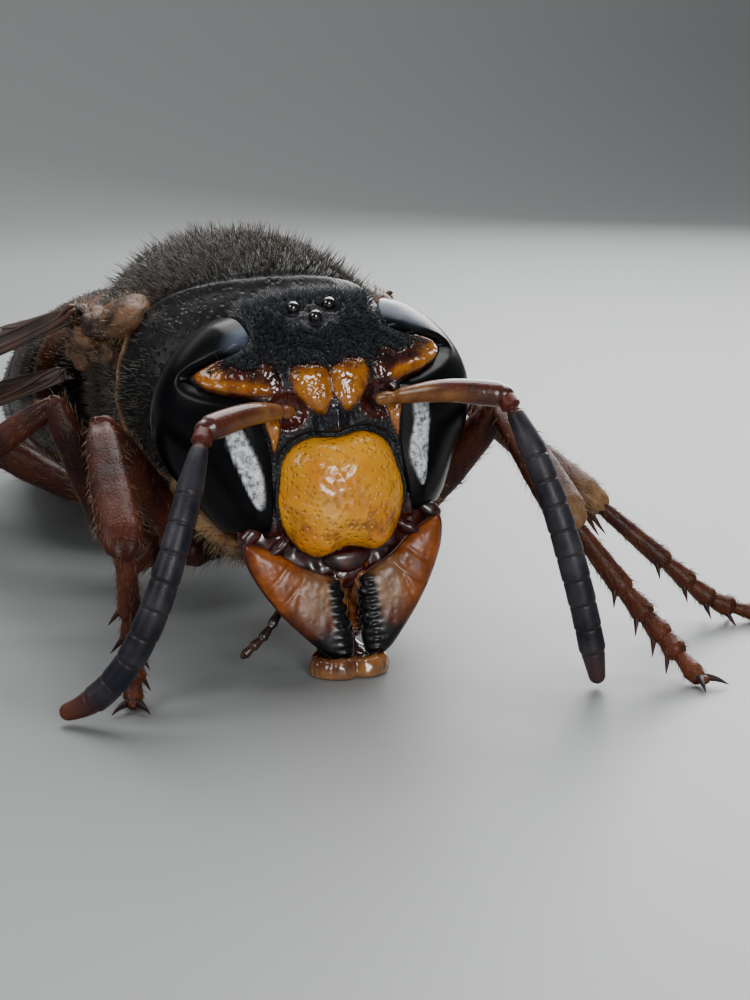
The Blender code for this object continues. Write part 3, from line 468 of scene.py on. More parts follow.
def eyeSpan(v):
    off = np.abs(v - eyes["middle"][1]) / eyes["half"][1]
    share = np.maximum(1.0 - off ** eyes["fullness"], 0.0) ** (1.0 / eyes["fullness"])
    # the lower inner corner is squarer
    square = np.where(v < eyes["middle"][1], eyes["corner"], eyes["fullness"])
    innerShare = np.maximum(1.0 - off ** square, 0.0) ** (1.0 / square)
    heights = np.linspace(0.5, 2.4, 191)
    notch = np.interp(heights, *zip(*eyes["notch"]))
    kernel = np.hanning(15)
    notch = np.convolve(notch, kernel / kernel.sum(), mode="same")
    inner = eyes["middle"][0] - eyes["half"][0] * innerShare + np.interp(v, heights, notch)
    return inner, eyes["middle"][0] + eyes["half"][0] * share


def eyeOutline(count=150):
    turns = np.linspace(0, math.pi, count)
    v = eyes["middle"][1] - eyes["half"][1] * np.cos(turns)
    v = np.sort(np.concatenate([v, np.linspace(0.7, 2.1, 60)]))
    inner, outer = eyeSpan(v)
    return np.vstack([np.stack([outer, v], axis=-1), np.stack([inner, v], axis=-1)[::-1]])


eyeEdge = eyeOutline()
lobeEdge = smoothRing(head["lobe"], 44)
plateEdge = smoothRing(head["plate"], 60)
cornerEdge = smoothRing(head["corner"], 20)
clypeus = {
    "half": ((0.0, -0.17), (0.62, -0.12), (1.12, -0.4), (1.35, -1.0), (1.43, -1.6), (1.14, -2.35),
             (0.67, -2.7), (0.0, -2.55)),
    "middle": (0.0, -1.3), "front": -1.68, "bulge": 0.44, "back": -1.25, "curve": 0.1, "points": 150,
    "rings": 60,
}
clypeusEdge = smoothRing(list(clypeus["half"]) + [(-x, z) for x, z in clypeus["half"][-2:0:-1]],
                         clypeus["points"])


def onEye(points):  # how far inside the eye's outline a point of the head is
    x = np.abs(points[..., 0])
    u = x * math.cos(eyes["angle"]) + points[..., 1] * math.sin(eyes["angle"])
    outward = x * math.sin(eyes["angle"]) - points[..., 1] * math.cos(eyes["angle"])
    inside = insideBy(np.stack([u, points[..., 2]], axis=-1), eyeEdge)
    return np.where(outward > 0.6, inside, -2.0)


def dressHead(base):
    x, y, z = np.abs(base[..., 0]), base[..., 1], base[..., 2]
    flat = np.stack([x, z], axis=-1)
    front = step(0.2, -0.5, y)
    lumps = roughness(base, 0.22)
    grain = roughness(base, 0.075, 7.0)
    inEye = onEye(base)
    inLobe = insideBy(flat, lobeEdge) + 0.02 * lumps
    inPlate = insideBy(flat, plateEdge) + 0.02 * lumps
    inCorner = insideBy(flat, cornerEdge)
    inClypeus = insideBy(np.stack([base[..., 0], z], axis=-1), clypeusEdge)
    fromSocket = np.hypot(x - head["socket"][0], z - head["socket"][1])
    relief = head["lobeRise"] * (1 - np.exp(-np.maximum(inLobe, 0) / 0.1)) * front
    relief += 0.05 * step(-0.12, 0.02, inLobe) * front
    lip = bell(z - 0.2 * (x - 1.2), 0.93, 0.11) * step(1.15, 1.5, x)
    relief += (head["plateRise"] * (1 - np.exp(-np.maximum(inPlate, 0) / 0.06))
               + 0.05 * lip * (inPlate > 0)) * front
    relief += 0.018 * lumps * step(0.0, 0.1, inPlate) * front
    relief += 0.07 * step(-0.02, 0.06, inCorner) * front
    relief -= head["socketDepth"] * np.exp(-(fromSocket / 0.27) ** 2) * front
    relief += 0.035 * bell(fromSocket, 0.4, 0.08) * front
    strip = bell(x, 0.0, 0.11) * step(-0.12, 0.05, z) * step(0.8, 0.55, z)
    relief += (0.16 * strip * (1 + 0.35 * lumps) - 0.1 * bell(x, 0.34, 0.12) * step(-0.05, 0.1, z)
               * step(0.5, 0.3, z)) * front
    relief -= (0.2 * step(-0.02, 0.08, inClypeus) + 0.1 * bell(inClypeus, -0.06, 0.07)) * front
    relief -= eyes["sunk"] * step(-0.02, 0.07, inEye)
    relief += 0.045 * bell(inEye, -0.09, 0.05) * (inEye < 0.05)
    across = x * math.cos(eyes["angle"]) + y * math.sin(eyes["angle"])
    # the rim behind and below the eye
    cheek = bell(inEye, -0.22, 0.15) * step(0.6, 1.0, across) * step(-0.2, -0.9, z)
    relief += 0.26 * cheek * step(-0.02, -0.1, inEye)
    black = (step(1.25, 1.5, z) * step(-0.03, -0.12, inEye) * step(0.02, -0.06, inPlate)
             * step(0.03, -0.03, inLobe))
    black = np.maximum(black, step(-0.2, 0.4, y) * step(-0.03, -0.1, inEye))
    relief += (0.018 * lumps + 0.02 * grain) * black
    relief += 0.016 * grain * step(-0.03, -0.1, inEye) * (1 - black)
    for across, rise in ((0.0, 0.0), (0.4, 0.22)):  # a shallow dish round each simple eye
        away = np.sqrt((x - across) ** 2 + (y + 0.98 - 1.3 * rise) ** 2 + (z - 2.36 - rise) ** 2)
        relief += -0.05 * bell(away, 0.22, 0.05) + 0.03 * bell(away, 0.33, 0.06)
    amber = step(-0.03, 0.04, inLobe + 0.03 * grain - 0.05 * step(1.1, 1.4, z))
    amber = amber * (1 - 0.5 * step(1.15, 1.4, z)) * front
    outer = step(1.9, 2.4, x) * step(1.66, 1.4, z)
    lit = np.clip(np.maximum(lip * 1.3, outer) + 0.25 * lumps, 0, 1)
    amber = np.maximum(amber, step(-0.02, 0.05, inPlate) * lit * front)
    amber = np.maximum(amber, step(-0.01, 0.05, inCorner) * front)
    russet = step(-0.08, 0.03, inPlate) * front
    russet = np.maximum(russet, step(-0.07, 0.0, inLobe) * front)
    russet = np.maximum(russet, step(0.56, 0.34, fromSocket) * front)
    russet = np.maximum(russet, step(-1.45, -1.8, z) * step(0.06, -0.1, inClypeus + 0.05)
                        * step(-0.02, -0.06, inEye))
    tan = cheek * step(-0.7, -1.2, z)
    wet = np.maximum.reduce([strip, russet, amber])
    return relief, {"amber": amber, "russet": russet, "tan": tan, "wet": np.clip(wet, 0, 1)}


def headMaterial():
    material, tree, shader = newMaterial("headShell", IOR=1.5, Specular_IOR_Level=0.4, Coat_Roughness=0.1)
    pits = useGroup(tree, "shellPits", {"Size": 9500.0, "Wrinkle": 0.8})
    black = mottled(tree, (0.002, 0.0025, 0.004), (0.007, 0.009, 0.014), 5200.0, 0.42, 0.66)
    russet = mottled(tree, (0.06, 0.008, 0.004), (0.014, 0.003, 0.002), 2600.0, 0.4, 0.62)
    amber = mottled(tree, (0.33, 0.115, 0.008), (0.16, 0.032, 0.003), 2600.0, 0.42, 0.66)
    tan = rgb(0.33, 0.17, 0.065)
    colour = mixColours(tree, maskOf(tree, "tan"), black, tan)
    colour = mixColours(tree, maskOf(tree, "russet"), colour, russet)
    colour = mixColours(tree, maskOf(tree, "amber"), colour, amber)
    wet = maskOf(tree, "wet")
    dry = calculate(tree, "SUBTRACT", 1.0, wet, clamp=True)
    height = calculate(tree, "MULTIPLY", pits["Height"], spread(tree, wet, 0.0, 1.0, 1.0, 0.25))
    feed(tree, shader, Base_Color=colour, Roughness=spread(tree, dry, 0.0, 1.0, 0.16, 0.5),
         Coat_Weight=spread(tree, wet, 0.0, 1.0, 0.0, 0.8), Normal=bumpFrom(tree, height, 0.75, 0.00003))
    return material


def buildHead():
    slopes = np.concatenate([np.linspace(0.004, 0.56 * math.pi, head["frontRows"], endpoint=False),
                             np.linspace(0.56 * math.pi, 0.985 * math.pi, head["backRows"])])
    base = surfaceAlong(headField, np.zeros(3), starWays(slopes, head["columns"]), 5.0)
    relief, masks = dressHead(base)
    rings = base + normalsOf(base) * relief[..., None]
    addPiece("headShell", [rings], headMaterial(), ["head"], alone(masks), headPlace)
    return rings, masks


headRings, headMasks = buildHead()
print("head done")


def eyeMaterial():
    material, tree, shader = newMaterial("eyeGloss", IOR=1.5, Specular_IOR_Level=0.14)
    where = addNode(tree, "TexCoord").outputs["Object"]
    facets = addNode(tree, "TexVoronoi", {"Vector": where, "Scale": 34000.0, "Randomness": 0.35},
                     feature="F1")
    clouds = addNode(tree, "TexNoise", {"Vector": where, "Scale": 9000.0, "Detail": 3.0})
    height = calculate(tree, "ADD", calculate(tree, "MULTIPLY", facets.outputs["Distance"], -0.5),
                       clouds.outputs["Fac"])
    colour = mottled(tree, (0.0015, 0.0015, 0.002), (0.003, 0.003, 0.004), 600.0, 0.4, 0.7)
    # painted reflection: pale speckled streaks laid over the black of the eye
    reflectionSpeckle = mottled(tree, (0.09, 0.1, 0.12), (0.9, 0.92, 0.95), 9500.0, 0.34, 0.62)
    paintedReflection = calculate(tree, "MULTIPLY", maskOf(tree, "paintedReflection"), 0.85)
    # painted sheen: a faint bluish patch on each upper lobe
    colour = mixColours(tree, maskOf(tree, "haze"), colour, rgb(0.07, 0.09, 0.125))
    feed(tree, shader, Base_Color=mixColours(tree, paintedReflection, colour, reflectionSpeckle),
         Roughness=spread(tree, paintedReflection, 0.0, 1.0, 0.27, 0.4), Normal=bumpFrom(tree, height, 0.35, 0.000006))
    return material


def buildEye(sideName, material):
    side = sides[sideName]
    outward = np.array([side * math.sin(eyes["angle"]), -math.cos(eyes["angle"]), 0.0])
    across = np.array([side * math.cos(eyes["angle"]), math.sin(eyes["angle"]), 0.0])
    up = np.array([0.0, 0.0, 1.0])
    turns = np.linspace(0.035, math.pi - 0.035, eyes["rows"])
    v = np.sort(np.concatenate([eyes["middle"][1] - eyes["half"][1] * np.cos(turns),
                                np.linspace(0.72, 2.0, 70)]))
    inner, outer = eyeSpan(v)
    shares = 0.5 - 0.5 * np.cos(np.linspace(0, math.pi, eyes["columns"]))
    u = inner[:, None] + (outer - inner)[:, None] * shares
    spots = np.stack([u, np.broadcast_to(v[:, None], u.shape)], axis=-1)
    inside = np.maximum(insideBy(spots, eyeEdge), 0.0)
    base = across * u[..., None] + up * v[:, None, None] + outward * 1.1
    face = surfaceAlong(lambda points: headField(points) - eyes["proud"], base,
                        np.broadcast_to(outward, base.shape), 4.0)
    drop = 0.19 * (1 - np.minimum(inside / eyes["roll"], 1.0)) ** 2.4
    face = face - outward * drop[..., None]
    floor = face[:, ::-1] * 0.86
    rings = np.concatenate([face, floor], axis=1)
    # where the painted reflection streak lies
    streakOutline = smoothRing(eyes["reflectionStreaks"][sideName], 50)
    paintedReflection = step(-0.015, 0.03, insideBy(spots, streakOutline))
    # where the painted bluish sheen lies
    haze = 0.8 * step(-0.2, 0.2, insideBy(spots, smoothRing(eyes["reflectionSheens"][sideName], 40)))
    masks = {"paintedReflection": [np.concatenate([paintedReflection, 0 * paintedReflection], axis=1)],
             "haze": [np.concatenate([haze, 0 * haze], axis=1)]}
    return addPiece("eye" + sideName.capitalize(), [rings], material, ["eye_" + sideName], masks,
                    headPlace)


eyeGloss = eyeMaterial()
for sideName in sides:
    buildEye(sideName, eyeGloss)
print("eyes done")


# the smooth rim of the cheek, outside and below each eye

cheeks = {
    "path": ((2.95, 1.6, -1.0), (2.9, 1.35, -1.3), (2.73, 1.05, -1.58), (2.47, 0.62, -1.95),
             (2.2, 0.2, -2.25), (2.02, -0.3, -2.43), (1.97, -0.8, -2.4)),
    "wide": (0.1, 0.22, 0.28, 0.3, 0.29, 0.26, 0.18),
}
cheekSkins = []


def buildCheeks():
    material = shellMaterial(
        "cheekShell", (11000.0, 0.5), ((0.3, 0.17, 0.075), (0.1, 0.035, 0.015), 1300.0, 0.42, 0.66),
        (("end", (0.02, 0.005, 0.004), 1.0),), (0.4, 0.55), (0.4, 0.000015), IOR=1.5, Specular_IOR_Level=0.3)
    stacks, masks = [], []
    for side in sides.values():
        path = smoothPath(np.array(cheeks["path"]) * np.array([side, 1.0, 1.0]), 90)
        wide = np.interp(np.linspace(0, 1, len(path)), np.linspace(0, 1, len(cheeks["wide"])), cheeks["wide"])
        rings = tubeRings(path, wide, sides=44,
                          relief=lambda grid: 0.025 * roughness(grid, 0.3) + 0.008 * roughness(grid, 0.08))
        share = np.linspace(0, 1, rings.shape[0])[:, None]
        stacks.append(rings)
        masks.append(np.broadcast_to(step(0.85, 1.0, share) + step(0.15, 0.0, share), rings.shape[:2]))
        cheekSkins.append(rings)
    addPiece("cheekRims", stacks, material, (), {"end": masks}, headPlace)


buildCheeks()


# the three simple eyes on the crown

def buildOcelli():
    material = mottledMaterial("ocellusGlass", (0.012, 0.002, 0.003), (0.004, 0.002, 0.003), 6000.0, IOR=1.5,
                               Roughness=0.06, Coat_Weight=1.0, Coat_Roughness=0.02)
    stacks = []
    for across, rise in ((0.0, 0.0), (-0.4, 0.22), (0.4, 0.22)):
        middle = np.array([across, -0.98 + 1.3 * rise, 2.36 + rise])
        way = unit(middle - np.array([0.0, 0.3, 0.6]))
        stacks.append(tubeRings([middle - way * 0.12, middle - way * 0.05, middle - way * 0.03], 0.15,
                                sides=28))
    addPiece("ocelli", stacks, material, place=headPlace)


buildOcelli()


def clypeusMaterial():
    material, tree, shader = newMaterial("clypeusShell", IOR=1.5, Coat_Weight=0.35, Coat_Roughness=0.12)
    pits = useGroup(tree, "shellPits", {"Size": 7800.0, "Wrinkle": 0.35})
    base = mottled(tree, (0.6, 0.21, 0.005), (0.68, 0.3, 0.01), 1300.0, 0.4, 0.62)
    stain = useGroup(tree, "mottle", {"Size": 2300.0, "Low": 0.47, "High": 0.68})["Mask"]
    stain = calculate(tree, "MULTIPLY", stain, maskOf(tree, "lower"))
    colour = mixColours(tree, stain, base, rgb(0.17, 0.05, 0.006))
    colour = mixColours(tree, calculate(tree, "MULTIPLY", pits["Pits"], 0.35), colour, rgb(0.42, 0.13, 0.006))
    # a dark rim painted round the shield: painted shade of the groove round it
    colour = mixColours(tree, maskOf(tree, "edge"), colour, rgb(0.05, 0.007, 0.004))
    feed(tree, shader, Base_Color=colour, Roughness=spread(tree, pits["Pits"], 0.0, 1.0, 0.24, 0.42),
         Normal=bumpFrom(tree, pits["Height"], 0.9, 0.00003))
    return material


def buildClypeus():
    flat, share = fanOut(clypeusEdge, clypeus["middle"], np.linspace(0.02, 1.0, clypeus["rings"]) ** 0.8)
    x, z = flat[..., 0], flat[..., 1]
    lumps = roughness(np.stack([x, z, z * 0], axis=-1), 0.42, 3.0)
    fine = roughness(np.stack([x, z, z * 0], axis=-1), 0.14, 5.0)
    depth = clypeus["front"] + clypeus["curve"] * x * x - clypeus["bulge"] * (1 - share ** 3)
    depth += 0.2 * share ** 14 + 0.024 * lumps + 0.014 * fine
    depth += 0.05 * bell(x, 0.0, 0.35) * step(-1.9, -2.5, z)
    face = np.stack([x, depth, z], axis=-1)
    rim = np.stack([clypeusEdge[:, 0] * 0.985, np.full(len(clypeusEdge), clypeus["back"]),
                    clypeusEdge[:, 1] * 0.985], axis=-1)
    rings = np.concatenate([face, rim[None]], axis=0)
    masks = {"lower": np.vstack([step(-0.9, -1.9, z), np.ones((1, x.shape[1]))]),
             # the outer rim, painted dark as the shade of the groove round the shield
             "edge": np.vstack([step(0.955, 1.0, share + 0.01 * fine), np.ones((1, x.shape[1]))])}
    addPiece("clypeusShield", [rings], clypeusMaterial(), ["clypeus"], alone(masks), headPlace)


buildClypeus()
print("clypeus done")


# jaws, almost closed over the mouth, with black toothed inner edges

jaws = {
    "outline": ((2.16, -2.2), (1.86, -2.28), (1.45, -2.5), (1.0, -2.86), (0.4, -3.16), (0.17, -3.36),
                (0.13, -3.8), (0.09, -4.4), (0.2, -4.95), (0.62, -4.88), (1.16, -4.34), (1.66, -3.7),
                (2.05, -3.0), (2.2, -2.5)),
    "points": 220, "rings": 46, "middle": (1.15, -3.4), "plane": -1.3, "lean": 0.1, "thick": 0.5,
    "bulge": 0.17, "gaps": (-3.42, -3.72, -4.02, -4.32), "toothDeep": 0.08,
}


def buildJaw(sideName, material):
    side = sides[sideName]
    outline = smoothRing(jaws["outline"], jaws["points"])
    inner = (outline[:, 0] < 0.5) & (outline[:, 1] < -3.1)
    cut = sum(bell(outline[:, 1], gap, 0.075) for gap in jaws["gaps"]) * jaws["toothDeep"] * inner
    shares = np.linspace(0.03, 1.0, jaws["rings"]) ** 0.75
    flat, share = fanOut(outline, jaws["middle"], shares)
    flat[..., 0] += cut * step(0.7, 1.0, shares)[:, None]
    x, z = flat[..., 0], flat[..., 1]
    front = jaws["plane"] + jaws["lean"] * (z + 2.5) - jaws["bulge"] * (1 - share ** 5)
    slant = (z + 2.3) * 0.75 + (x - 2.0) * 0.66
    grooves = (bell(slant + 0.8, 0.0, 0.06) + bell(slant + 1.25, 0.0, 0.05)
               + 0.7 * bell((x - 1.15) + 0.35 * (z + 3.4), 0.0, 0.07))
    lumps = roughness(np.stack([x, z * 0.5, z * 0 + side], axis=-1), 0.16, 9.0)
    front += 0.025 * grooves * (share < 0.93) + 0.012 * lumps + 0.1 * share ** 30
    teeth = bell(x, 0.32, 0.16) * step(-3.0, -3.3, z)
    front -= 0.05 * teeth * (0.5 + 0.5 * np.sin((z + 3.3) * 2 * math.pi / 0.17))
    rear = jaws["plane"] + jaws["lean"] * (z + 2.5) + jaws["thick"] * (1 - share ** 4) + 0.02
    face = np.stack([x * side, front, z], axis=-1)
    back = np.stack([x * side, rear, z], axis=-1)[::-1]
    rings = np.concatenate([face, back], axis=0)
    fromInner = x - 0.2
    dark = np.maximum(step(0.4, 0.28, fromInner + 0.04 * lumps) * step(-3.1, -3.3, z),
                      step(-4.1, -4.45, z + 0.25 * (x - 0.7) + 0.1 * lumps))
    lower = bell(x, 0.75, 0.42) * step(-2.75, -3.05, z + 0.1 * lumps) * step(-4.25, -3.8, z)
    edge = np.maximum(step(0.9, 1.0, share), step(-3.6, -4.2, z + 0.1 * lumps) * 0.8)
    masks = {"dark": dark, "lower": lower, "edge": edge}
    masks = {key: [np.concatenate([grid, grid[::-1]], axis=0)] for key, grid in masks.items()}
    addPiece("jaw" + sideName.capitalize(), [rings], material, ["mandible_" + sideName], masks,
             headPlace)


jawShell = shellMaterial(
    "jawShell", (5200.0, 0.6), ((0.24, 0.06, 0.006), (0.1, 0.02, 0.004), 1500.0, 0.4, 0.62),
    (("lower", ((0.16, 0.075, 0.03), (0.26, 0.15, 0.075), 2600.0, 0.42, 0.6), 1.0),
     ("edge", (0.06, 0.012, 0.005), 1.0), ("dark", (0.003, 0.002, 0.003), 1.0)),
    (0.36, 0.52), (0.5, 0.00002), IOR=1.5, Coat_Weight=0.12, Coat_Roughness=0.2, Specular_IOR_Level=0.35)
for sideName in sides:
    buildJaw(sideName, jawShell)
print("jaws done")


# mouthparts: a lip plate, two long lobes, feeling palps, and the tongue spread on the floor

mouth = {
    "lip": ((0.0, -2.62), (0.42, -2.66), (0.52, -2.84), (0.3, -3.04), (0.0, -3.12), (-0.3, -3.04),
            (-0.52, -2.84), (-0.42, -2.66)),
    "frame": ((0.0, -2.3), (1.2, -2.0), (1.9, -1.7), (2.2, -1.9), (2.15, -2.4), (1.7, -2.75), (1.15, -3.1),
              (0.6, -3.4), (0.0, -3.5), (-0.6, -3.4), (-1.15, -3.1), (-1.7, -2.75), (-2.15, -2.4),
              (-2.2, -1.9), (-1.9, -1.7), (-1.2, -2.0)),
    "lobes": (((0.2, -0.95, -2.7), (0.3, -1.0, -3.3), (0.27, -0.9, -4.0), (0.2, -0.7, -4.5)), 0.27),
    "palps": {"right": ((-1.2, -0.55, -3.4), (-1.5, -0.7, -3.9), (-1.85, -0.85, -4.25), (-2.15, -0.92, -4.45),
                        (-2.4, -0.92, -4.62)),
              "left": ((1.2, -0.55, -3.1), (1.42, -0.55, -3.6), (1.4, -0.55, -4.1), (1.25, -0.5, -4.45))},
}


def buildMouth():
    lipMaterial = mottledMaterial("lipShell", (0.05, 0.006, 0.004), (0.012, 0.003, 0.003), 2600.0,
                                  Roughness=0.3, Coat_Weight=0.35)
    flat, share = fanOut(smoothRing(mouth["lip"], 72), (0.0, -2.85), np.linspace(0.04, 1.0, 16))
    depth = -1.36 - 0.12 * (1 - share ** 3) + 0.12 * flat[..., 0] ** 2
    face = np.stack([flat[..., 0], depth, flat[..., 1]], axis=-1)
    back = face[-1:] * np.array([0.98, 1.0, 1.0]) + np.array([0.0, 0.16, 0.0])
    flat, share = fanOut(smoothRing(mouth["frame"], 160), (0.0, -2.5), np.linspace(0.03, 1.0, 30))
    depth = -1.12 - 0.16 * (1 - share ** 4) + 0.04 * flat[..., 0] ** 2
    surround = np.stack([flat[..., 0], depth, flat[..., 1]], axis=-1)
    surround[..., 1] -= 0.12 * roughness(surround, 0.3, 11.0) * (1 - share ** 4)
    rear = surround[-1:] * np.array([0.9, 1.0, 0.95]) + np.array([0.0, 0.6, 0.0])
    stacks = [np.concatenate([face, back], axis=0), np.concatenate([surround, rear], axis=0)]
    for side in (-1.0, 1.0):  # the knuckle on which each jaw turns
        stacks.append(domeRings((side * 2.0, -1.12, -2.08), (0.28, 0.16, 0.17), (0.0, side * 30.0, 0.0),
                                26, 30, relief=lambda rings: 0.03 * roughness(rings, 0.2)))
        stacks.append(domeRings((side * 1.45, -1.24, -2.38), (0.36, 0.18, 0.13), (0.0, side * 35.0, 0.0),
                                26, 30, relief=lambda rings: 0.04 * roughness(rings, 0.16)))
    addPiece("lipPlate", stacks, lipMaterial, place=headPlace)

    fleshMaterial = mottledMaterial("mouthFlesh", (0.3, 0.1, 0.02), (0.04, 0.008, 0.004), 2600.0, 0.38, 0.6,
                                    Roughness=0.2, Coat_Weight=0.9, Coat_Roughness=0.06,
                                    Subsurface_Weight=0.15, Subsurface_Radius=(0.0004, 0.0002, 0.0001))
    path, radius = mouth["lobes"]
    stacks = []
    for side in (-1.0, 1.0):
        spine = smoothPath(np.array(path) * np.array([side, 1.0, 1.0]), 40)
        wide = radius * np.interp(np.linspace(0, 1, 40), (0, 0.2, 0.7, 1), (0.8, 1.0, 0.95, 0.6))
        ribs = 0.02 * np.sin(np.arange(40) * 1.7)
        stacks.append(tubeRings(spine, wide + ribs, wide * 0.9, sides=28,
                                relief=lambda rings: 0.07 * roughness(rings, 0.17)))
    spine = smoothPath([(0, -0.5, -2.4), (0, -0.45, -3.4), (0, -0.3, -4.3)], 20)
    stacks.append(tubeRings(spine, 0.45, 0.3, sides=24, relief=lambda rings: 0.03 * roughness(rings, 0.2)))
    addPiece("mouthLobes", stacks, fleshMaterial, place=headPlace)
    addPalps()


def addPalps():
    material = mottledMaterial("palpShell", (0.045, 0.014, 0.008), (0.012, 0.006, 0.005), 3000.0,
                               Roughness=0.35, Coat_Weight=0.3)
    stacks = []
    for points in mouth["palps"].values():
        spine = smoothPath(points, 61)
        for number in range(len(points)):
            first, last = int(number * 60 / len(points)), int((number + 1) * 60 / len(points))
            part = spine[first:last + 1]
            wide = 0.1 * np.interp(np.linspace(0, 1, len(part)), (0, 0.15, 0.8, 1), (0.62, 0.85, 1.15, 0.8))
            stacks.append(tubeRings(part, wide, sides=12))
    addPiece("palps", stacks, material, place=headPlace)


tongue = {
    "heights": (0.015, 0.05, 0.14, 0.28, 0.4, 0.44, 0.4, 0.5, 1.0, 1.7, 2.5),
    "depth": (0.15, 0.15, 0.15, 0.15, 0.18, 0.25, 0.45, 0.9, 1.35, 1.5, 1.7),
    "wide": (0.8, 0.86, 0.88, 0.87, 0.84, 0.76, 0.62, 0.45, 0.38, 0.36, 0.36),
    "deep": (0.53, 0.57, 0.58, 0.57, 0.54, 0.48, 0.42, 0.38, 0.36, 0.36, 0.36),
    "rows": 46, "columns": 160,
}


def buildTongue():
    material, tree, shader = newMaterial("tonguePad", Roughness=0.24, Coat_Weight=0.8, Coat_Roughness=0.1,
                                         Subsurface_Weight=0.3, Subsurface_Radius=(0.0005, 0.0003, 0.0001))
    fringe = maskOf(tree, "fringe")
    flesh = mottled(tree, (0.28, 0.11, 0.025), (0.1, 0.03, 0.01), 1800.0, 0.4, 0.62)
    colour = mixColours(tree, calculate(tree, "MULTIPLY", fringe, 0.4), flesh, rgb(0.34, 0.18, 0.07))
    # the top of the pad and the stalk above it are painted dark: painted shade under the jaws
    feed(tree, shader, Base_Color=mixColours(tree, maskOf(tree, "inside"), colour, rgb(0.03, 0.008, 0.004)))
    rows, columns = tongue["rows"], tongue["columns"]
    heights, depth, wide, deep = (np.interp(np.linspace(0, 10, rows), np.arange(11), tongue[key])
                                  for key in ("heights", "depth", "wide", "deep"))
    angles = np.arange(columns) * 2 * math.pi / columns
    cleft = 1 - 0.3 * np.exp(-(np.angle(np.exp(1j * (angles + math.pi / 2))) / 0.2) ** 2)
    frill = 1 + 0.01 * np.sin(angles * 26) * step(0.5, 0.3, heights)[:, None]
    pad = step(0.8, 0.5, heights)[:, None]
    reach = (1 - pad) + pad * cleft * frill
    rings = np.stack([wide[:, None] * np.cos(angles) * reach,
                      depth[:, None] + deep[:, None] * np.sin(angles) * reach,
                      np.broadcast_to(heights[:, None], reach.shape)], axis=-1)
    rings = rings + normalsOf(rings) * (0.035 * roughness(rings, 0.2, 2.0)
                                        * step(0.02, 0.1, rings[..., 2]))[..., None]
    brim = np.broadcast_to(step(0.3, 0.05, heights)[:, None] * step(0.3, -0.4, np.sin(angles)), reach.shape)
    # rows from the pad's top upwards: painted shade under the jaws
    inside = np.broadcast_to(step(20, 24, np.arange(rows))[:, None], reach.shape)
    addPiece("tonguePad", [rings], material, ["tongue"], {"fringe": [brim], "inside": [inside]})


buildMouth()
buildTongue()
print("mouth done")


# feelers: a scape, then a pedicel and ten short segments

feelers = {
    "right": ((-3.35, -0.55, 5.62), (-4.45, -2.35, 4.2), (-4.9, -2.1, 0.9), (-6.4, -1.05, 0.28)),
    "left": ((2.95, -1.15, 6.05), (3.4, -2.6, 4.6), (4.1, -2.7, 2.0), (4.42, -2.75, 0.27)),
    "socket": (1.0, -1.78, 0.5), "whipRadius": 0.29, "segments": 10,
    "scapeWide": ((0, 0.05, 0.11, 0.16, 0.4, 0.8, 0.95, 1), (0.13, 0.15, 0.11, 0.17, 0.23, 0.27, 0.27, 0.21)),
    "whipWide": ((0, 0.05, 0.06, 0.08, 0.2, 0.6, 0.9, 1), (0.62, 0.72, 0.42, 0.66, 0.92, 1.04, 0.96, 0.6)),
}


scapeShell = shellMaterial(
    "scapeShell", (11000.0, 0.3), ((0.075, 0.014, 0.006), (0.032, 0.007, 0.004), 1800.0),
    (("belly", ((0.2, 0.085, 0.018), (0.12, 0.036, 0.008), 1800.0), 1.0),
     ("end", (0.045, 0.008, 0.004), 1.0)),
    (0.28, 0.45), (0.3, 0.00001), Coat_Weight=0.25, Coat_Roughness=0.2)
whipShell = shellMaterial(
    "whipShell", (22000.0, 0.8), ((0.006, 0.006, 0.011), (0.032, 0.029, 0.037), 900.0, 0.42, 0.66),
    (("joint", (0.02, 0.01, 0.008), 0.5), ("tip", (0.075, 0.02, 0.01), 1.0),
     ("root", (0.07, 0.01, 0.005), 1.0)),
    (0.42, 0.6), (0.35, 0.000006), IOR=1.45, Specular_IOR_Level=0.33)


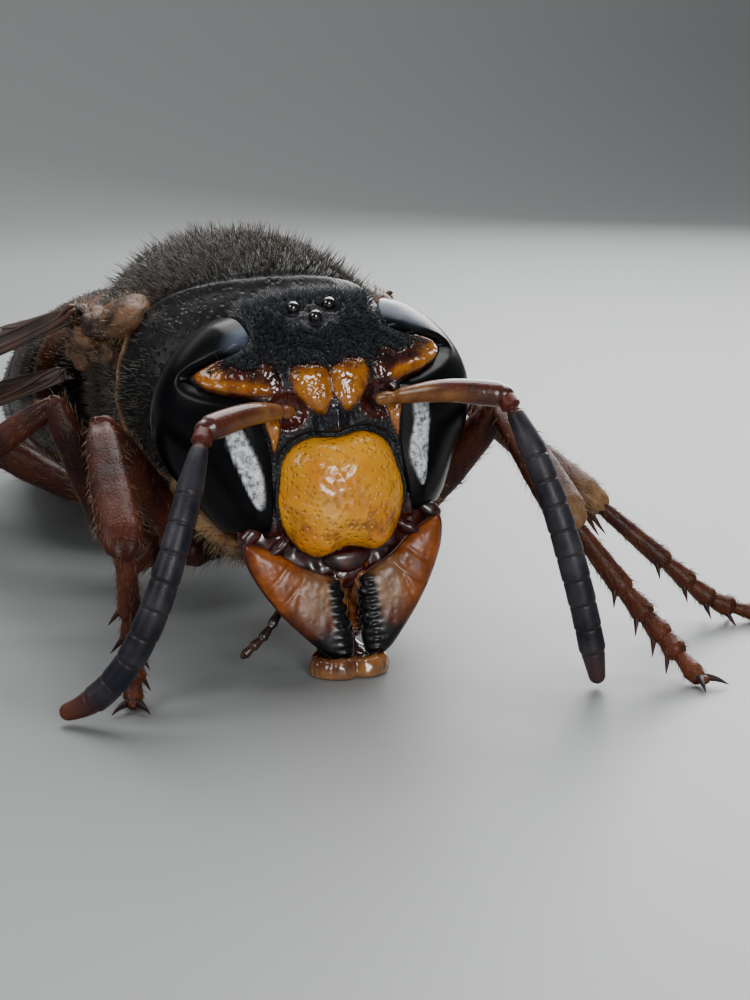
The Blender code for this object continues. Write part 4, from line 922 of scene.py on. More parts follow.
def buildFeeler(sideName):
    side = sides[sideName]
    elbow, bow, reach, tip = (np.array(point) for point in feelers[sideName])
    start = fromHead(np.array(feelers["socket"]) * np.array([side, 1.0, 1.0]))
    middle = 0.5 * (start + elbow) + np.array([0.0, -0.1, 0.14])
    path = smoothPath([start, middle, elbow], 50)
    rings = tubeRings(path, np.interp(np.linspace(0, 1, 50), *feelers["scapeWide"]), sides=40)
    run = np.linspace(0, 1, rings.shape[0])[:, None]
    belly = np.maximum(step(0.12, -0.05, rings[..., 2] - rings.mean(axis=1)[:, None, 2])
                       * step(0.85, 0.5, run), step(0.55, 0.35, run))
    end = np.broadcast_to(step(0.8, 0.93, run), rings.shape[:2])
    addPiece("scape" + sideName.capitalize(), [rings], scapeShell,
             ["antenna_" + sideName + "_scape"], {"belly": [belly], "end": [end]})

    t = np.linspace(0, 1, 400)[:, None]
    curve = (1 - t) ** 3 * elbow + 3 * (1 - t) ** 2 * t * bow + 3 * (1 - t) * t ** 2 * reach + t ** 3 * tip
    run = np.concatenate([[0], np.cumsum(np.linalg.norm(np.diff(curve, axis=0), axis=1))])
    spots = np.linspace(0.0, 1.0, 330)
    path = np.stack([np.interp(spots * run[-1], run, curve[:, axis]) for axis in range(3)], axis=-1)
    shares = np.cumsum([1.9] + [1.0] * (feelers["segments"] - 1))  # the first segment is the longest
    cuts = np.concatenate([[0.0, 0.055, 0.075], 0.075 + 0.925 * shares / (feelers["segments"] + 0.9)])
    body = feelers["whipRadius"] * np.interp(spots, *feelers["whipWide"])
    gap = np.min(np.abs(spots[:, None] - cuts[None, 2:-1]), axis=1) * run[-1]
    segment = np.clip(np.searchsorted(cuts, spots) - 1, 0, len(cuts) - 2)
    inside = (spots - cuts[segment]) / (cuts[segment + 1] - cuts[segment])
    body = body + 0.014 * (inside - 0.5) - 0.02 * bell(gap, 0.0, 0.03)
    rings = tubeRings(path, body, sides=36)
    grow = rings.shape[0] - len(spots)  # the rings of the round ends
    masks = {}
    for key, line in (("joint", bell(gap, 0.0, 0.05)), ("root", step(0.1, 0.05, spots)),
                      ("tip", (0.35 if sideName == "left" else 1.0) * step(0.86, 1.0, spots))):
        line = np.pad(line, (grow // 2, grow - grow // 2), mode="edge")
        masks[key] = [np.broadcast_to(line[:, None], rings.shape[:2])]
    addPiece("whip" + sideName.capitalize(), [rings], whipShell,
             ["antenna_" + sideName + "_flagellum"], masks)


for sideName in sides:
    buildFeeler(sideName)
print("feelers done")


# the thorax: one skin with its plates told apart by grooves

thorax = {
    "lumps": (((0.0, 7.4, 5.5), (3.45, 4.4, 3.3)), ((0.0, 5.3, 5.3), (3.55, 1.9, 2.7)),
              ((0.0, 6.8, 3.7), (2.3, 3.5, 1.9)), ((0.0, 9.7, 5.0), (2.75, 2.4, 2.6)),
              ((0.0, 9.2, 7.2), (1.75, 1.2, 1.15))),
    "middle": (0.0, 7.4, 5.0), "softness": 0.6, "rows": 220, "columns": 280,
}


def thoraxField(points):
    whole = None
    for middle, half in thorax["lumps"]:
        lump = ellipsoid(points, middle, half)
        whole = lump if whole is None else softUnion(whole, lump, thorax["softness"])
    return whole


def thoraxRegions(points):
    x, y, z = np.abs(points[..., 0]), points[..., 1], points[..., 2]
    collar = y - (6.1 - 0.34 * (7.2 - z))
    scutum = np.minimum(z - 6.35, y - (4.55 + 0.16 * x ** 2))
    behind = np.maximum(collar, scutum)  # above zero behind the collar
    shield = np.minimum.reduce([y - 8.9 - 0.05 * x ** 2, z - 7.0, 2.7 - x])
    rear = y - 9.85 + 0.15 * (z - 5.0)
    return x, y, z, behind, scutum, shield, rear


def dressThorax(base):
    x, y, z, behind, scutum, shield, rear = thoraxRegions(base)
    lumps = roughness(base, 0.5, 2.0)
    fine = roughness(base, 0.13, 4.0)
    relief = -0.1 * bell(behind, 0.0, 0.09) + 0.07 * step(-0.4, -0.08, behind) * step(0.1, -0.05, behind)
    top = step(6.0, 6.8, z) * step(0.05, 0.3, behind) * step(9.3, 8.9, y)
    relief -= 0.05 * top * (bell(x, 1.75 - 0.06 * (y - 7), 0.06) * step(6.4, 6.9, y)
                            + bell(x, 0.85, 0.05) * step(6.6, 5.9, y)
                            + 0.6 * bell(x, 0.0, 0.05))
    relief -= 0.14 * bell(shield, 0.0, 0.1) * step(6.9, 7.2, z)
    relief += 0.14 * step(0.0, 0.5, shield) - 0.06 * bell(x, 0.0, 0.12) * step(0.1, 0.4, shield)
    back = step(0.0, 0.2, rear) * step(0.1, -0.1, shield)
    relief -= 0.12 * bell(rear, 0.0, 0.1) * step(0.1, -0.1, shield)
    relief -= 0.22 * bell(x, 0.0, 0.35) * back * step(7.0, 6.2, z)
    side = step(2.0, 2.8, x) * step(0.15, 0.35, behind) * step(0.0, -0.2, rear)
    relief -= 0.09 * side * (bell(z - 5.2 - 0.25 * (y - 7.5), 0.0, 0.08) * step(6.6, 6.9, y)
                             + bell(y - 7.1 - 0.3 * (z - 4.0), 0.0, 0.08) * step(5.3, 5.0, z)
                             + 0.8 * bell(y - 8.9 + 0.1 * (z - 5.0), 0.0, 0.08))
    relief -= 0.25 * bell(x, 0.0, 0.25) * step(2.8, 2.2, z)
    relief += 0.03 * lumps + 0.012 * fine
    ridge = bell(behind, -0.12, 0.12) * step(7.0, 6.5, z) * step(3.2, 3.8, z) * (scutum < 0.4)
    masks = {"tan": ridge, "smooth": step(0.05, -0.1, behind),
             "brown": np.maximum(0.8 * step(0.05, 0.3, shield), side * step(5.4, 6.2, z))}
    return relief, masks


def thoraxMaterial():
    material, tree, shader = newMaterial("thoraxShell", IOR=1.5, Specular_IOR_Level=0.2)
    pits = useGroup(tree, "shellPits", {"Size": 6500.0, "Wrinkle": 0.5})
    black = mottled(tree, (0.0025, 0.0022, 0.0022), (0.007, 0.0055, 0.005), 1400.0, 0.42, 0.66)
    brown = mottled(tree, (0.05, 0.016, 0.007), (0.016, 0.007, 0.005), 1500.0)
    tan = mottled(tree, (0.4, 0.24, 0.12), (0.22, 0.1, 0.04), 2200.0)
    colour = mixColours(tree, maskOf(tree, "brown"), black, brown)
    colour = mixColours(tree, maskOf(tree, "tan"), colour, tan)
    feed(tree, shader, Base_Color=colour, Normal=bumpFrom(tree, pits["Height"], 0.6, 0.00003),
         Roughness=spread(tree, maskOf(tree, "smooth"), 0.0, 1.0, 0.55, 0.42))
    return material


def buildThorax():
    slopes = np.linspace(0.02, math.pi - 0.02, thorax["rows"])
    base = surfaceAlong(thoraxField, np.array(thorax["middle"]), starWays(slopes, thorax["columns"]), 6.0)
    relief, masks = dressThorax(base)
    rings = base + normalsOf(base) * relief[..., None]
    addPiece("thoraxShell", [rings], thoraxMaterial(),
             ["pronotum", "mesothorax", "scutellum", "propodeum", "petiole"], alone(masks))
    return rings


thoraxRings = buildThorax()
print("thorax done")


# the gaster: a waist, then six plates that overlap like roof tiles, belly plates under them

gaster = {
    "start": (0.0, 12.85, 4.5), "end": (0.0, 26.6, 1.4), "arch": 0.35, "wide": 3.35, "deep": 2.85,
    "seams": (0.0, 0.2, 0.4, 0.58, 0.74, 0.88, 1.0),
    "girth": ((0, 0.03, 0.09, 0.18, 0.3, 0.45, 0.6, 0.75, 0.88, 0.96, 1.0),
              (0.2, 0.5, 0.8, 0.96, 1.0, 0.99, 0.9, 0.72, 0.46, 0.22, 0.07)),
    "rows": 46, "columns": 150, "hairs": (1500, 1700, 1500, 1200, 900, 500),
    "waist": ((0, 11.3, 4.3), (0, 12.0, 4.42), (0, 12.5, 4.46), (0, 13.0, 4.5)),
    "waistWide": ((0, 0.35, 0.55, 0.7, 0.85, 1), (0.8, 0.62, 0.5, 0.5, 0.62, 0.85)),
}


def gasterMiddle(s):
    start, end = np.array(gaster["start"]), np.array(gaster["end"])
    lift = gaster["arch"] * np.sin(math.pi * s) * (1 - 0.3 * s)
    return start + (end - start) * s[..., None] + np.array((0.0, 0.0, 1.0)) * lift[..., None]


def gasterRings(s, scale):
    middle = gasterMiddle(s)
    ways = unit(gasterMiddle(s + 0.01) - gasterMiddle(s - 0.01))
    ups = unit(np.array((0.0, 0.0, 1.0)) - ways * ways[:, 2:3])
    size = np.interp(s, *gaster["girth"]) * scale
    angles = np.arange(gaster["columns"]) * 2 * math.pi / gaster["columns"]
    wide = gaster["wide"] * size[:, None] * np.cos(angles)
    deep = gaster["deep"] * size[:, None] * np.sin(angles)
    deep = np.where(np.sin(angles) < 0, deep * 0.9, deep)
    rings = middle[:, None] + np.array((1.0, 0.0, 0.0)) * wide[..., None] + ups[:, None] * deep[..., None]
    return rings, angles


gasterShell = shellMaterial(
    "gasterShell", (9000.0, 0.6), ((0.007, 0.005, 0.005), (0.02, 0.009, 0.006), 900.0, 0.42, 0.66),
    (("band", ((0.085, 0.026, 0.009), (0.045, 0.014, 0.006), 900.0, 0.4, 0.66), 1.0),
     ("lip", (0.09, 0.035, 0.014), 1.0)),
    (0.36, 0.5), (0.4, 0.000015), IOR=1.5, Specular_IOR_Level=0.15)
gasterSkins = []


def buildGaster():
    for number in range(6):
        first, last = gaster["seams"][number], gaster["seams"][number + 1]
        tuck = 0.035 if number else 0.0
        t = np.linspace(0, 1, gaster["rows"])
        s = first - tuck + (last - first + tuck + 0.006) * t
        scale = 0.955 + 0.045 * step(0.0, 0.35, t) + 0.012 * t
        if number == 0:
            scale = np.ones_like(t) + 0.01 * t
        rings, angles = gasterRings(s, scale)
        sine = np.broadcast_to(np.sin(angles), rings.shape[:2])
        lower = step(-0.42, -0.5, sine)
        out = unit(rings - rings.mean(axis=1, keepdims=True))
        fade = step(0.02, 0.12, t)[:, None] * step(1.0, 0.9, t)[:, None]
        fold = (0.1 * bell(sine, -0.38, 0.05) - 0.09 * lower) * fade
        rings = rings + out * fold[..., None] * min(1.0, 1.2 - 0.15 * number)
        rings = rings + out * (0.02 * roughness(rings, 0.8, 5.0) * fade)[..., None]
        gasterSkins.append(rings)
        onward = gasterMiddle(s[-1:]) - gasterMiddle(s[-1:] - 0.004)
        rim = rings[-1:] + out[-1:] * -0.05 + onward[:, None] * 0.6
        inner = rings[-1:] + out[-1:] * -0.22
        rings = np.concatenate([rings, rim, inner], axis=0)
        t = np.concatenate([t, [1.0, 1.0]])
        noisy = 0.06 * roughness(rings, 0.9, 8.0)
        band = step(0.55, 0.85, t[:, None] + noisy)
        lip = np.broadcast_to(step(0.93, 0.99, t)[:, None], rings.shape[:2])
        addPiece("gasterPlate" + str(number + 1), [rings], gasterShell,
                 ["gaster_" + str(number + 1)], {"band": [band], "lip": [lip]})
    wide = np.interp(np.linspace(0, 1, 30), *gaster["waistWide"])
    rings = tubeRings(smoothPath(gaster["waist"], 30), wide, sides=60)
    blank = np.zeros(rings.shape[:2])
    addPiece("waist", [rings], gasterShell, [], {"band": [blank], "lip": [blank]})


buildGaster()
print("gaster done")


# legs: six, each one skin, with spines, spurs and claws

legs = {
    "front_right": ((-1.05, 4.9, 3.1), (-2.35, 3.75, 1.95), (-4.71, 2.5, 5.32), (-4.98, -0.2, 3.3),
                    (-4.82, -0.1, 1.55), (-4.85, -0.25, 0.62), (-4.98, -0.62, 0.17)),
    "front_left": ((1.05, 4.9, 3.1), (2.35, 3.75, 1.95), (4.13, 1.5, 5.36), (4.45, -1.35, 3.32),
                   (5.5, -1.9, 1.8), (6.13, -2.6, 0.84), (6.45, -3.45, 0.17)),
    "middle_right": ((-1.35, 6.9, 3.0), (-3.35, 5.7, 1.35), (-4.95, 5.8, 5.32), (-8.3, 6.8, 2.9),
                     (-9.75, 7.0, 1.35), (-10.5, 7.1, 0.5), (-11.5, 7.2, 0.17)),
    "middle_left": ((1.35, 6.9, 3.0), (3.0, 6.0, 1.6), (4.7, 4.8, 5.0), (6.93, 2.0, 2.78), (8.46, 1.2, 1.33),
                    (9.4, 0.8, 0.52), (10.5, 0.35, 0.17)),
    "hind_right": ((-1.3, 9.3, 3.1), (-2.7, 10.5, 1.9), (-5.7, 13.0, 3.58), (-7.0, 16.6, 2.1),
                   (-7.6, 18.9, 1.05), (-8.2, 20.0, 0.45), (-8.7, 21.0, 0.17)),
    "hind_left": ((1.3, 9.3, 3.1), (2.7, 10.5, 1.9), (5.75, 12.7, 3.7), (7.4, 16.1, 2.1), (8.4, 18.1, 1.05),
                  (9.1, 19.1, 0.45), (9.7, 20.0, 0.17)),
}
legShape = {
    "girth": {"front": 1.0, "middle": 0.9, "hind": 1.0}, "tarsomeres": (0.0, 0.42, 0.58, 0.71, 0.82, 1.0),
    "coxa": ((0, 0.5, 0.9, 1), (0.95, 0.82, 0.52, 0.36)),
    "trochanter": ((0, 0.4, 0.8, 1), (0.3, 0.36, 0.3, 0.24)),
    "femur": ((0, 0.1, 0.5, 0.85, 1), (0.24, 0.36, 0.43, 0.38, 0.3)),
    "tibia": ((0, 0.08, 0.2, 0.6, 0.92, 1), (0.22, 0.3, 0.33, 0.41, 0.44, 0.34)),
    "frontTibia": ((0, 0.08, 0.2, 0.6, 0.94, 1), (0.24, 0.33, 0.37, 0.44, 0.47, 0.4)),
    "tarsomere": ((0, 0.15, 0.7, 1), (0.15, 0.19, 0.23, 0.26)),
    "lastTarsomere": ((0, 0.3, 0.8, 1), (0.13, 0.16, 0.22, 0.18)),
}


legShell = shellMaterial(
    "legShell", (12000.0, 0.5), ((0.052, 0.011, 0.005), (0.016, 0.004, 0.003), 1100.0, 0.42, 0.62),
    (("foot", ((0.1, 0.023, 0.008), (0.036, 0.009, 0.004), 1600.0), 1.0), ("pale", (0.2, 0.11, 0.045), 1.0),
     ("dark", (0.01, 0.006, 0.005), 1.0)),
    (0.42, 0.58), (0.4, 0.000015), IOR=1.5, Specular_IOR_Level=0.2)
legSkins = {}  # rings, hairs for each square millimetre and hair length, for the coat


def joined(name):  # front_right becomes FrontRight
    return "".join(part.capitalize() for part in name.split("_"))


def buildLeg(name):
    pair, sideName = name.split("_")
    root, hip, knee, ankle, heel, toe, foot = (np.array(point) for point in legs[name])
    girth = legShape["girth"][pair]
    stacks, masks = [], {"foot": [], "pale": [], "dark": []}

    def add(rings, footShare=0.0, pale=0.0, dark=0.0, hairs=0, length=0.3):
        stacks.append(rings)
        if hairs:
            legSkins.setdefault(name, []).append((rings, hairs, length))
        for key, value in (("foot", footShare), ("pale", pale), ("dark", dark)):
            masks[key].append(np.broadcast_to(np.asarray(value, dtype=float), rings.shape[:2]).copy())

    def limb(start, end, profile, count=36, sides=36, thin=1.0, trim=(0.0, 0.0), edged=0.0):
        share = np.linspace(0, 1, count)
        way = unit(end - start)
        path = start + way * trim[0] + (end - way * trim[1] - start - way * trim[0]) * share[:, None]
        wide = np.interp(share, *profile) * girth
        edges = np.cos(np.arange(sides) * 6 * math.pi / sides + 0.6)  # three blunt edges along the limb
        return tubeRings(path, wide, wide * thin, sides=sides,
                         relief=lambda rings: 0.012 * roughness(rings, 0.3) + edged * edges)

    add(limb(root, hip, legShape["coxa"], count=30, sides=44, trim=(0.0, 0.25)), hairs=40, length=0.4)
    way = unit(knee - hip)
    add(limb(hip - unit(hip - root) * 0.12, hip + way * 0.42, legShape["trochanter"], count=16), dark=0.3)
    add(limb(hip + way * 0.5, knee, legShape["femur"], trim=(0.0, 0.12), edged=0.025), hairs=30, length=0.26)
    shin = unit(ankle - knee)
    pale = {"middle_left": 0.95, "front_left": 0.7}.get(name, 0.0)
    profile, thin = (legShape["frontTibia"], 0.82) if pair == "front" else (legShape["tibia"], 1.0)
    rings = limb(knee, ankle, profile, trim=(0.16, 0.1), thin=thin, edged=0.035)
    rows = np.linspace(0, 1, rings.shape[0])[:, None]
    add(rings, footShare=0.25 * rows, pale=pale * step(0.7, 0.95, rows), hairs=36, length=0.24)
    # tarsus
    corners = np.array([ankle, heel, toe, foot])
    run = np.concatenate([[0], np.cumsum(np.linalg.norm(np.diff(corners, axis=0), axis=1))])
    run = run / run[-1]
    dense = smoothPath(corners, 200)
    denseRun = np.concatenate([[0], np.cumsum(np.linalg.norm(np.diff(dense, axis=0), axis=1))])
    denseRun = denseRun / denseRun[-1]

    def onTarsus(share):
        return np.stack([np.interp(share, denseRun, dense[:, axis]) for axis in range(3)], axis=-1)

    ends = legShape["tarsomeres"]
    for number in range(5):
        share = np.linspace(ends[number] + 0.012, ends[number + 1] - 0.012, 18)
        path = onTarsus(share)
        shape = legShape["tarsomere" if number < 4 else "lastTarsomere"]
        wide = np.interp(np.linspace(0, 1, 18), *shape)
        rings = tubeRings(path, wide * (girth ** 0.5), sides=28,
                          relief=lambda grid: 0.01 * roughness(grid, 0.2))
        add(rings, footShare=0.5 + 0.5 * number / 4, hairs=80, length=0.17)
        if number < 4:
            way = unit(path[-1] - path[-3])
            across = unit(np.cross(way, (0.0, 0.0, 1.0)))
            under = unit(np.cross(way, across))
            under = under if under[2] < 0 else -under
            for lean in (-1.0, 1.0):
                spine = unit(way * 0.72 + across * lean * 0.42 + under * 0.55)
                rootSpot = path[-2] + across * lean * 0.12 + under * 0.08
                add(spikeRings(rootSpot, spine, 0.5, 0.068), footShare=0.6, dark=0.5)
    # spurs at the tibia's end
    side = sides[sideName]
    across = unit(np.cross(shin, (0.0, 0.0, 1.0)))
    under = unit(np.cross(across, shin))
    under = under if under[2] < 0 else -under
    inward = across if across[0] * side < 0 else -across
    turns = (0.0,) if pair == "front" else (-0.5, 0.5)
    for turn in turns:
        away = unit(under * math.cos(turn) + inward * (math.sin(turn) + (0.5 if pair == "front" else 0.2)))
        spur = spikeRings(ankle - shin * 0.3 + away * 0.22, unit(shin * 0.85 + away * 0.5), 0.95, 0.085,
                          bend=-away * 0.12, count=9)
        add(spur, footShare=0.7, dark=0.3)
    # claws and the soft pad between them
    way = unit(foot - toe)
    flat = unit(np.array([way[0], way[1], 0.0]))
    across = unit(np.cross(flat, (0.0, 0.0, 1.0)))
    apart = math.radians(38)
    for lean in (-1.0, 1.0):
        out = unit(flat * math.cos(apart) + across * lean * math.sin(apart) + np.array((0, 0, 0.18)))
        claw = spikeRings(foot + np.array((0, 0, 0.02)), out, 0.64, 0.095, (0.0, 0.0, -0.38), sides=12,
                          count=12)
        add(claw, dark=0.9)
    add(tubeRings([foot + flat * 0.02, foot + flat * 0.14], 0.13, 0.1, sides=20), footShare=0.8)
    addPiece("leg" + joined(name), stacks, legShell,
             ["leg_" + name + "_" + part for part in ("coxa", "femur", "tibia", "tarsus")], masks)


for legName in legs:
    buildLeg(legName)
print("legs done")


# wings: folded lengthwise along the sides, smoky, with raised veins

wings = {
    "fore": {"root": (3.88, 7.65, 6.95), "length": 19.4, "width": 3.3, "spread": 9.0, "droop": 14.0},
    "hind": {"root": (3.92, 8.75, 5.38), "length": 12.4, "width": 2.0, "spread": 8.0, "droop": 13.5},
    "roll": 30.0, "arch": 0.28, "rows": 90, "columns": 40,
    "widths": ((0, 0.15), (0.12, 0.4), (0.4, 0.88), (0.68, 1), (0.8, 0.94), (0.88, 0.83), (0.94, 0.66),
               (0.975, 0.45), (0.992, 0.28), (1, 0.12)),
    "foreVeins": (
        (((0.0, 0.3), (0.05, 0.08), (0.3, 0.02), (0.6, 0.02), (0.85, 0.03), (0.97, 0.12)), 0.1),
        (((0.0, 0.4), (0.1, 0.16), (0.35, 0.09), (0.58, 0.06)), 0.09),
        (((0.56, 0.045), (0.61, 0.07), (0.67, 0.04)), 0.14),
        (((0.4, 0.12), (0.46, 0.3), (0.56, 0.36), (0.7, 0.34), (0.8, 0.22), (0.87, 0.05)), 0.05),
        (((0.03, 0.5), (0.2, 0.34), (0.38, 0.4), (0.55, 0.55), (0.74, 0.6), (0.9, 0.55)), 0.055),
        (((0.03, 0.6), (0.2, 0.55), (0.42, 0.72), (0.66, 0.86)), 0.05),
        (((0.03, 0.75), (0.25, 0.82), (0.48, 0.95)), 0.045), (((0.3, 0.1), (0.34, 0.24), (0.37, 0.4)), 0.04),
        (((0.5, 0.33), (0.53, 0.53)), 0.04), (((0.62, 0.36), (0.65, 0.57)), 0.04),
        (((0.72, 0.33), (0.76, 0.6)), 0.04), (((0.3, 0.37), (0.32, 0.63)), 0.04),
        (((0.5, 0.53), (0.52, 0.79)), 0.04)),
    "hindVeins": (
        (((0.0, 0.3), (0.06, 0.08), (0.3, 0.03), (0.7, 0.03), (0.95, 0.12)), 0.07),
        (((0.02, 0.4), (0.25, 0.2), (0.5, 0.14), (0.62, 0.05)), 0.06),
        (((0.02, 0.55), (0.25, 0.5), (0.5, 0.55), (0.85, 0.6)), 0.045), (((0.4, 0.16), (0.43, 0.53)), 0.04),
        (((0.04, 0.75), (0.3, 0.85), (0.5, 0.95)), 0.04)),
}


def wingFrame(part, side):
    shape = wings[part]
    turns = (shape["spread"], shape["droop"], wings["roll"])
    away, droop, roll = (math.radians(value) for value in turns)
    reach = math.cos(droop)
    along = np.array((side * math.sin(away) * reach, math.cos(away) * reach, -math.sin(droop)))
    level = unit(np.cross(along, (0.0, 0.0, 1.0))) * side
    inward = -level * math.cos(roll) + np.array((0.0, 0.0, 1.0)) * math.sin(roll)
    inward = unit(inward - along * np.dot(inward, along))
    return along, inward, np.cross(along, inward) * side


def wingSpot(part, side, s, t, lift=0.0):
    shape = wings[part]
    along, inward, up = wingFrame(part, side)
    root = np.array(shape["root"]) * np.array((side, 1.0, 1.0))
    s, t, lift = np.broadcast_arrays(*(np.asarray(value, dtype=float) for value in (s, t, lift)))
    wide = shape["width"] * np.interp(s, *zip(*wings["widths"]))
    arch = wings["arch"] * np.sin(math.pi * np.clip(t, 0, 1))
    arch = arch + 0.05 * np.sin(t * 19 + s * 5) * step(0.02, 0.3, t)  # slight waves across the membrane
    return (root + along * (s * shape["length"])[..., None] + inward * (wide * (t - 0.35))[..., None]
            + up * (arch + lift)[..., None])


def wingMaterial():
    material, tree, shader = newMaterial("wingMembrane", IOR=1.5, Roughness=0.28)
    smoke = mottled(tree, (0.06, 0.028, 0.013), (0.028, 0.014, 0.008), 700.0)
    crinkle = useGroup(tree, "shellPits", {"Size": 3000.0, "Wrinkle": 1.0})
    feed(tree, shader, Base_Color=smoke, Alpha=spread(tree, maskOf(tree, "edge"), 0.0, 1.0, 0.7, 0.94),
         Normal=bumpFrom(tree, crinkle["Height"], 0.2, 0.00002))
    veins = mottledMaterial("wingVeins", (0.07, 0.022, 0.01), (0.025, 0.01, 0.006), 900.0, Roughness=0.4)
    return material, veins


def buildWing(part, sideName, membrane, veinShell):
    side = sides[sideName]
    s = np.linspace(0.0, 1.0, wings["rows"])[:, None]
    t = np.linspace(0.0, 1.0, wings["columns"])
    upper = wingSpot(part, side, s, t, 0.02)
    fold = np.linspace(1.0, 0.45, 22)
    under = wingSpot(part, side, s, fold, -0.1 - 0.1 * step(1.0, 0.8, fold))
    inner = wingSpot(part, side, s, fold[::-1], -0.06 - 0.1 * step(1.0, 0.8, fold[::-1]))
    lower = wingSpot(part, side, s, t[::-1][1:], -0.02)
    rings = np.concatenate([upper, under, inner, lower], axis=1)
    edge = np.concatenate([step(0.2, 0.0, t), np.zeros(44), step(0.2, 0.0, t[::-1][1:])])
    edge = np.broadcast_to(edge, rings.shape[:2])
    title = part + "Wing" + sideName.capitalize()
    addPiece(title, [rings], membrane, [part + "wing_" + sideName], {"edge": [edge]})
    stacks = []
    for points, radius in wings[part + "Veins"]:
        spots = smoothPath(np.array([(a, b, 0.0) for a, b in points]), 34)
        path = wingSpot(part, side, spots[:, 0], spots[:, 1], 0.02)
        stacks.append(tubeRings(path, radius * np.linspace(1.0, 0.7, 34), radius * 0.7, sides=8))
    addPiece(title + "Veins", stacks, veinShell)


membrane, veinShell = wingMaterial()
for part in ("fore", "hind"):
    for sideName in sides:
        buildWing(part, sideName, membrane, veinShell)


wingKnots = (((3.45, 7.35, 6.85), (0.42, 0.55, 0.3), 20), ((3.72, 7.75, 6.55), (0.3, 0.62, 0.26), 30),
             ((3.3, 7.9, 6.45), (0.55, 0.45, 0.3), 10), ((3.6, 8.4, 6.0), (0.3, 0.6, 0.3), 35),
             ((3.25, 7.2, 6.2), (0.4, 0.7, 0.36), 5), ((3.55, 8.1, 6.9), (0.22, 0.6, 0.2), 30))
wingBaseSkins = {}


def buildWingBases():
    material, tree, shader = newMaterial("tegulaShell", IOR=1.5, Roughness=0.52, Specular_IOR_Level=0.3,
                                         Subsurface_Weight=0.1, Subsurface_Radius=(0.0004, 0.0002, 0.0001))
    pits = useGroup(tree, "shellPits", {"Size": 9000.0, "Wrinkle": 0.6})
    colour = mottled(tree, (0.13, 0.06, 0.026), (0.014, 0.006, 0.004), 1500.0, 0.4, 0.62)
    feed(tree, shader, Base_Color=colour, Normal=bumpFrom(tree, pits["Height"], 0.4, 0.000015))
    for sideName, side in sides.items():
        plate = domeRings((side * 3.02, 6.45, 7.1), (0.7, 0.93, 0.42), (0.0, side * 34.0, 0.0),
                          relief=lambda rings: 0.05 * roughness(rings, 0.4, 1.0)
                          + 0.02 * roughness(rings, 0.13, 3.0))
        addPiece("tegula" + sideName.capitalize(), [plate], material, ["tegula_" + sideName])
        wingBaseSkins[sideName] = [plate]
        knots = []
        for middle, half, turn in wingKnots:
            knots.append(domeRings(
                np.array(middle) * np.array((side, 1, 1)), half, (turn, side * 20.0, side * -12.0), 26, 30,
                relief=lambda rings: 0.1 * roughness(rings, 0.25, 6.0) + 0.03 * roughness(rings, 0.1, 2.0)))
        wingBaseSkins[sideName] += knots
        addPiece("wingBase" + sideName.capitalize(), knots, material)


buildWingBases()
print("wings done")


neck = {"path": ((0.0, 5.6, 4.9), (-0.02, 3.9, 4.9), (-0.05, 2.9, 5.05)), "wide": (1.3, 0.75),
        "deep": (1.1, 0.7)}


def buildNeck():
    rings = tubeRings(smoothPath(neck["path"], 30), np.linspace(*neck["wide"], 30),
                      np.linspace(*neck["deep"], 30), sides=60,
                      relief=lambda grid: 0.05 * roughness(grid, 0.4))
    blank = np.zeros(rings.shape[:2])
    masks = {"foot": [blank], "pale": [blank], "dark": [blank + 0.6]}
    addPiece("neck", [rings], legShell, [], masks)


buildNeck()


# hair: thin tapered tufts over the skins, each with its place on an unwrap of the skin below it

chance = np.random.default_rng(11)


def scatter(rings, weights, count):  # roots, normals and unwrap places, thicker where the weights are higher
    rows, columns = rings.shape[:2]
    after = np.roll(rings, -1, axis=1)
    area = np.linalg.norm(np.cross(after[1:] - rings[:-1], rings[1:] - after[:-1]), axis=-1)
    wide = np.roll(weights, -1, axis=1)
    share = (area * (weights[:-1] + weights[1:] + wide[:-1] + wide[1:])).ravel()
    pick = chance.choice(share.size, count, p=share / share.sum())
    i, j = np.divmod(pick, columns)
    t, u = chance.random(count), chance.random(count)
    normals = normalsOf(rings)

    def blend(grid):
        n = (j + 1) % columns
        a, b, c, d = grid[i, j], grid[i, n], grid[i + 1, j], grid[i + 1, n]
        tt, uu = (t[:, None], u[:, None]) if grid.ndim == 3 else (t, u)
        return (a * (1 - uu) + b * uu) * (1 - tt) + (c * (1 - uu) + d * uu) * tt

    places = np.stack([(j + u) / columns, (i + t) / rows], axis=-1)
    return blend(rings), unit(blend(normals)), places


# the same for a list of rings, weights and count; their unwraps stand above one another
def scatterOver(skins):
    roots, normals, places = zip(*(scatter(*skin) for skin in skins))
    places = [(place + np.array((0.0, number))) / np.array((1.0, len(skins)))
              for number, place in enumerate(places)]
    return (np.concatenate(roots), np.concatenate(normals), np.concatenate(places),
            np.repeat(np.arange(len(skins)), [len(grid) for grid in roots]))


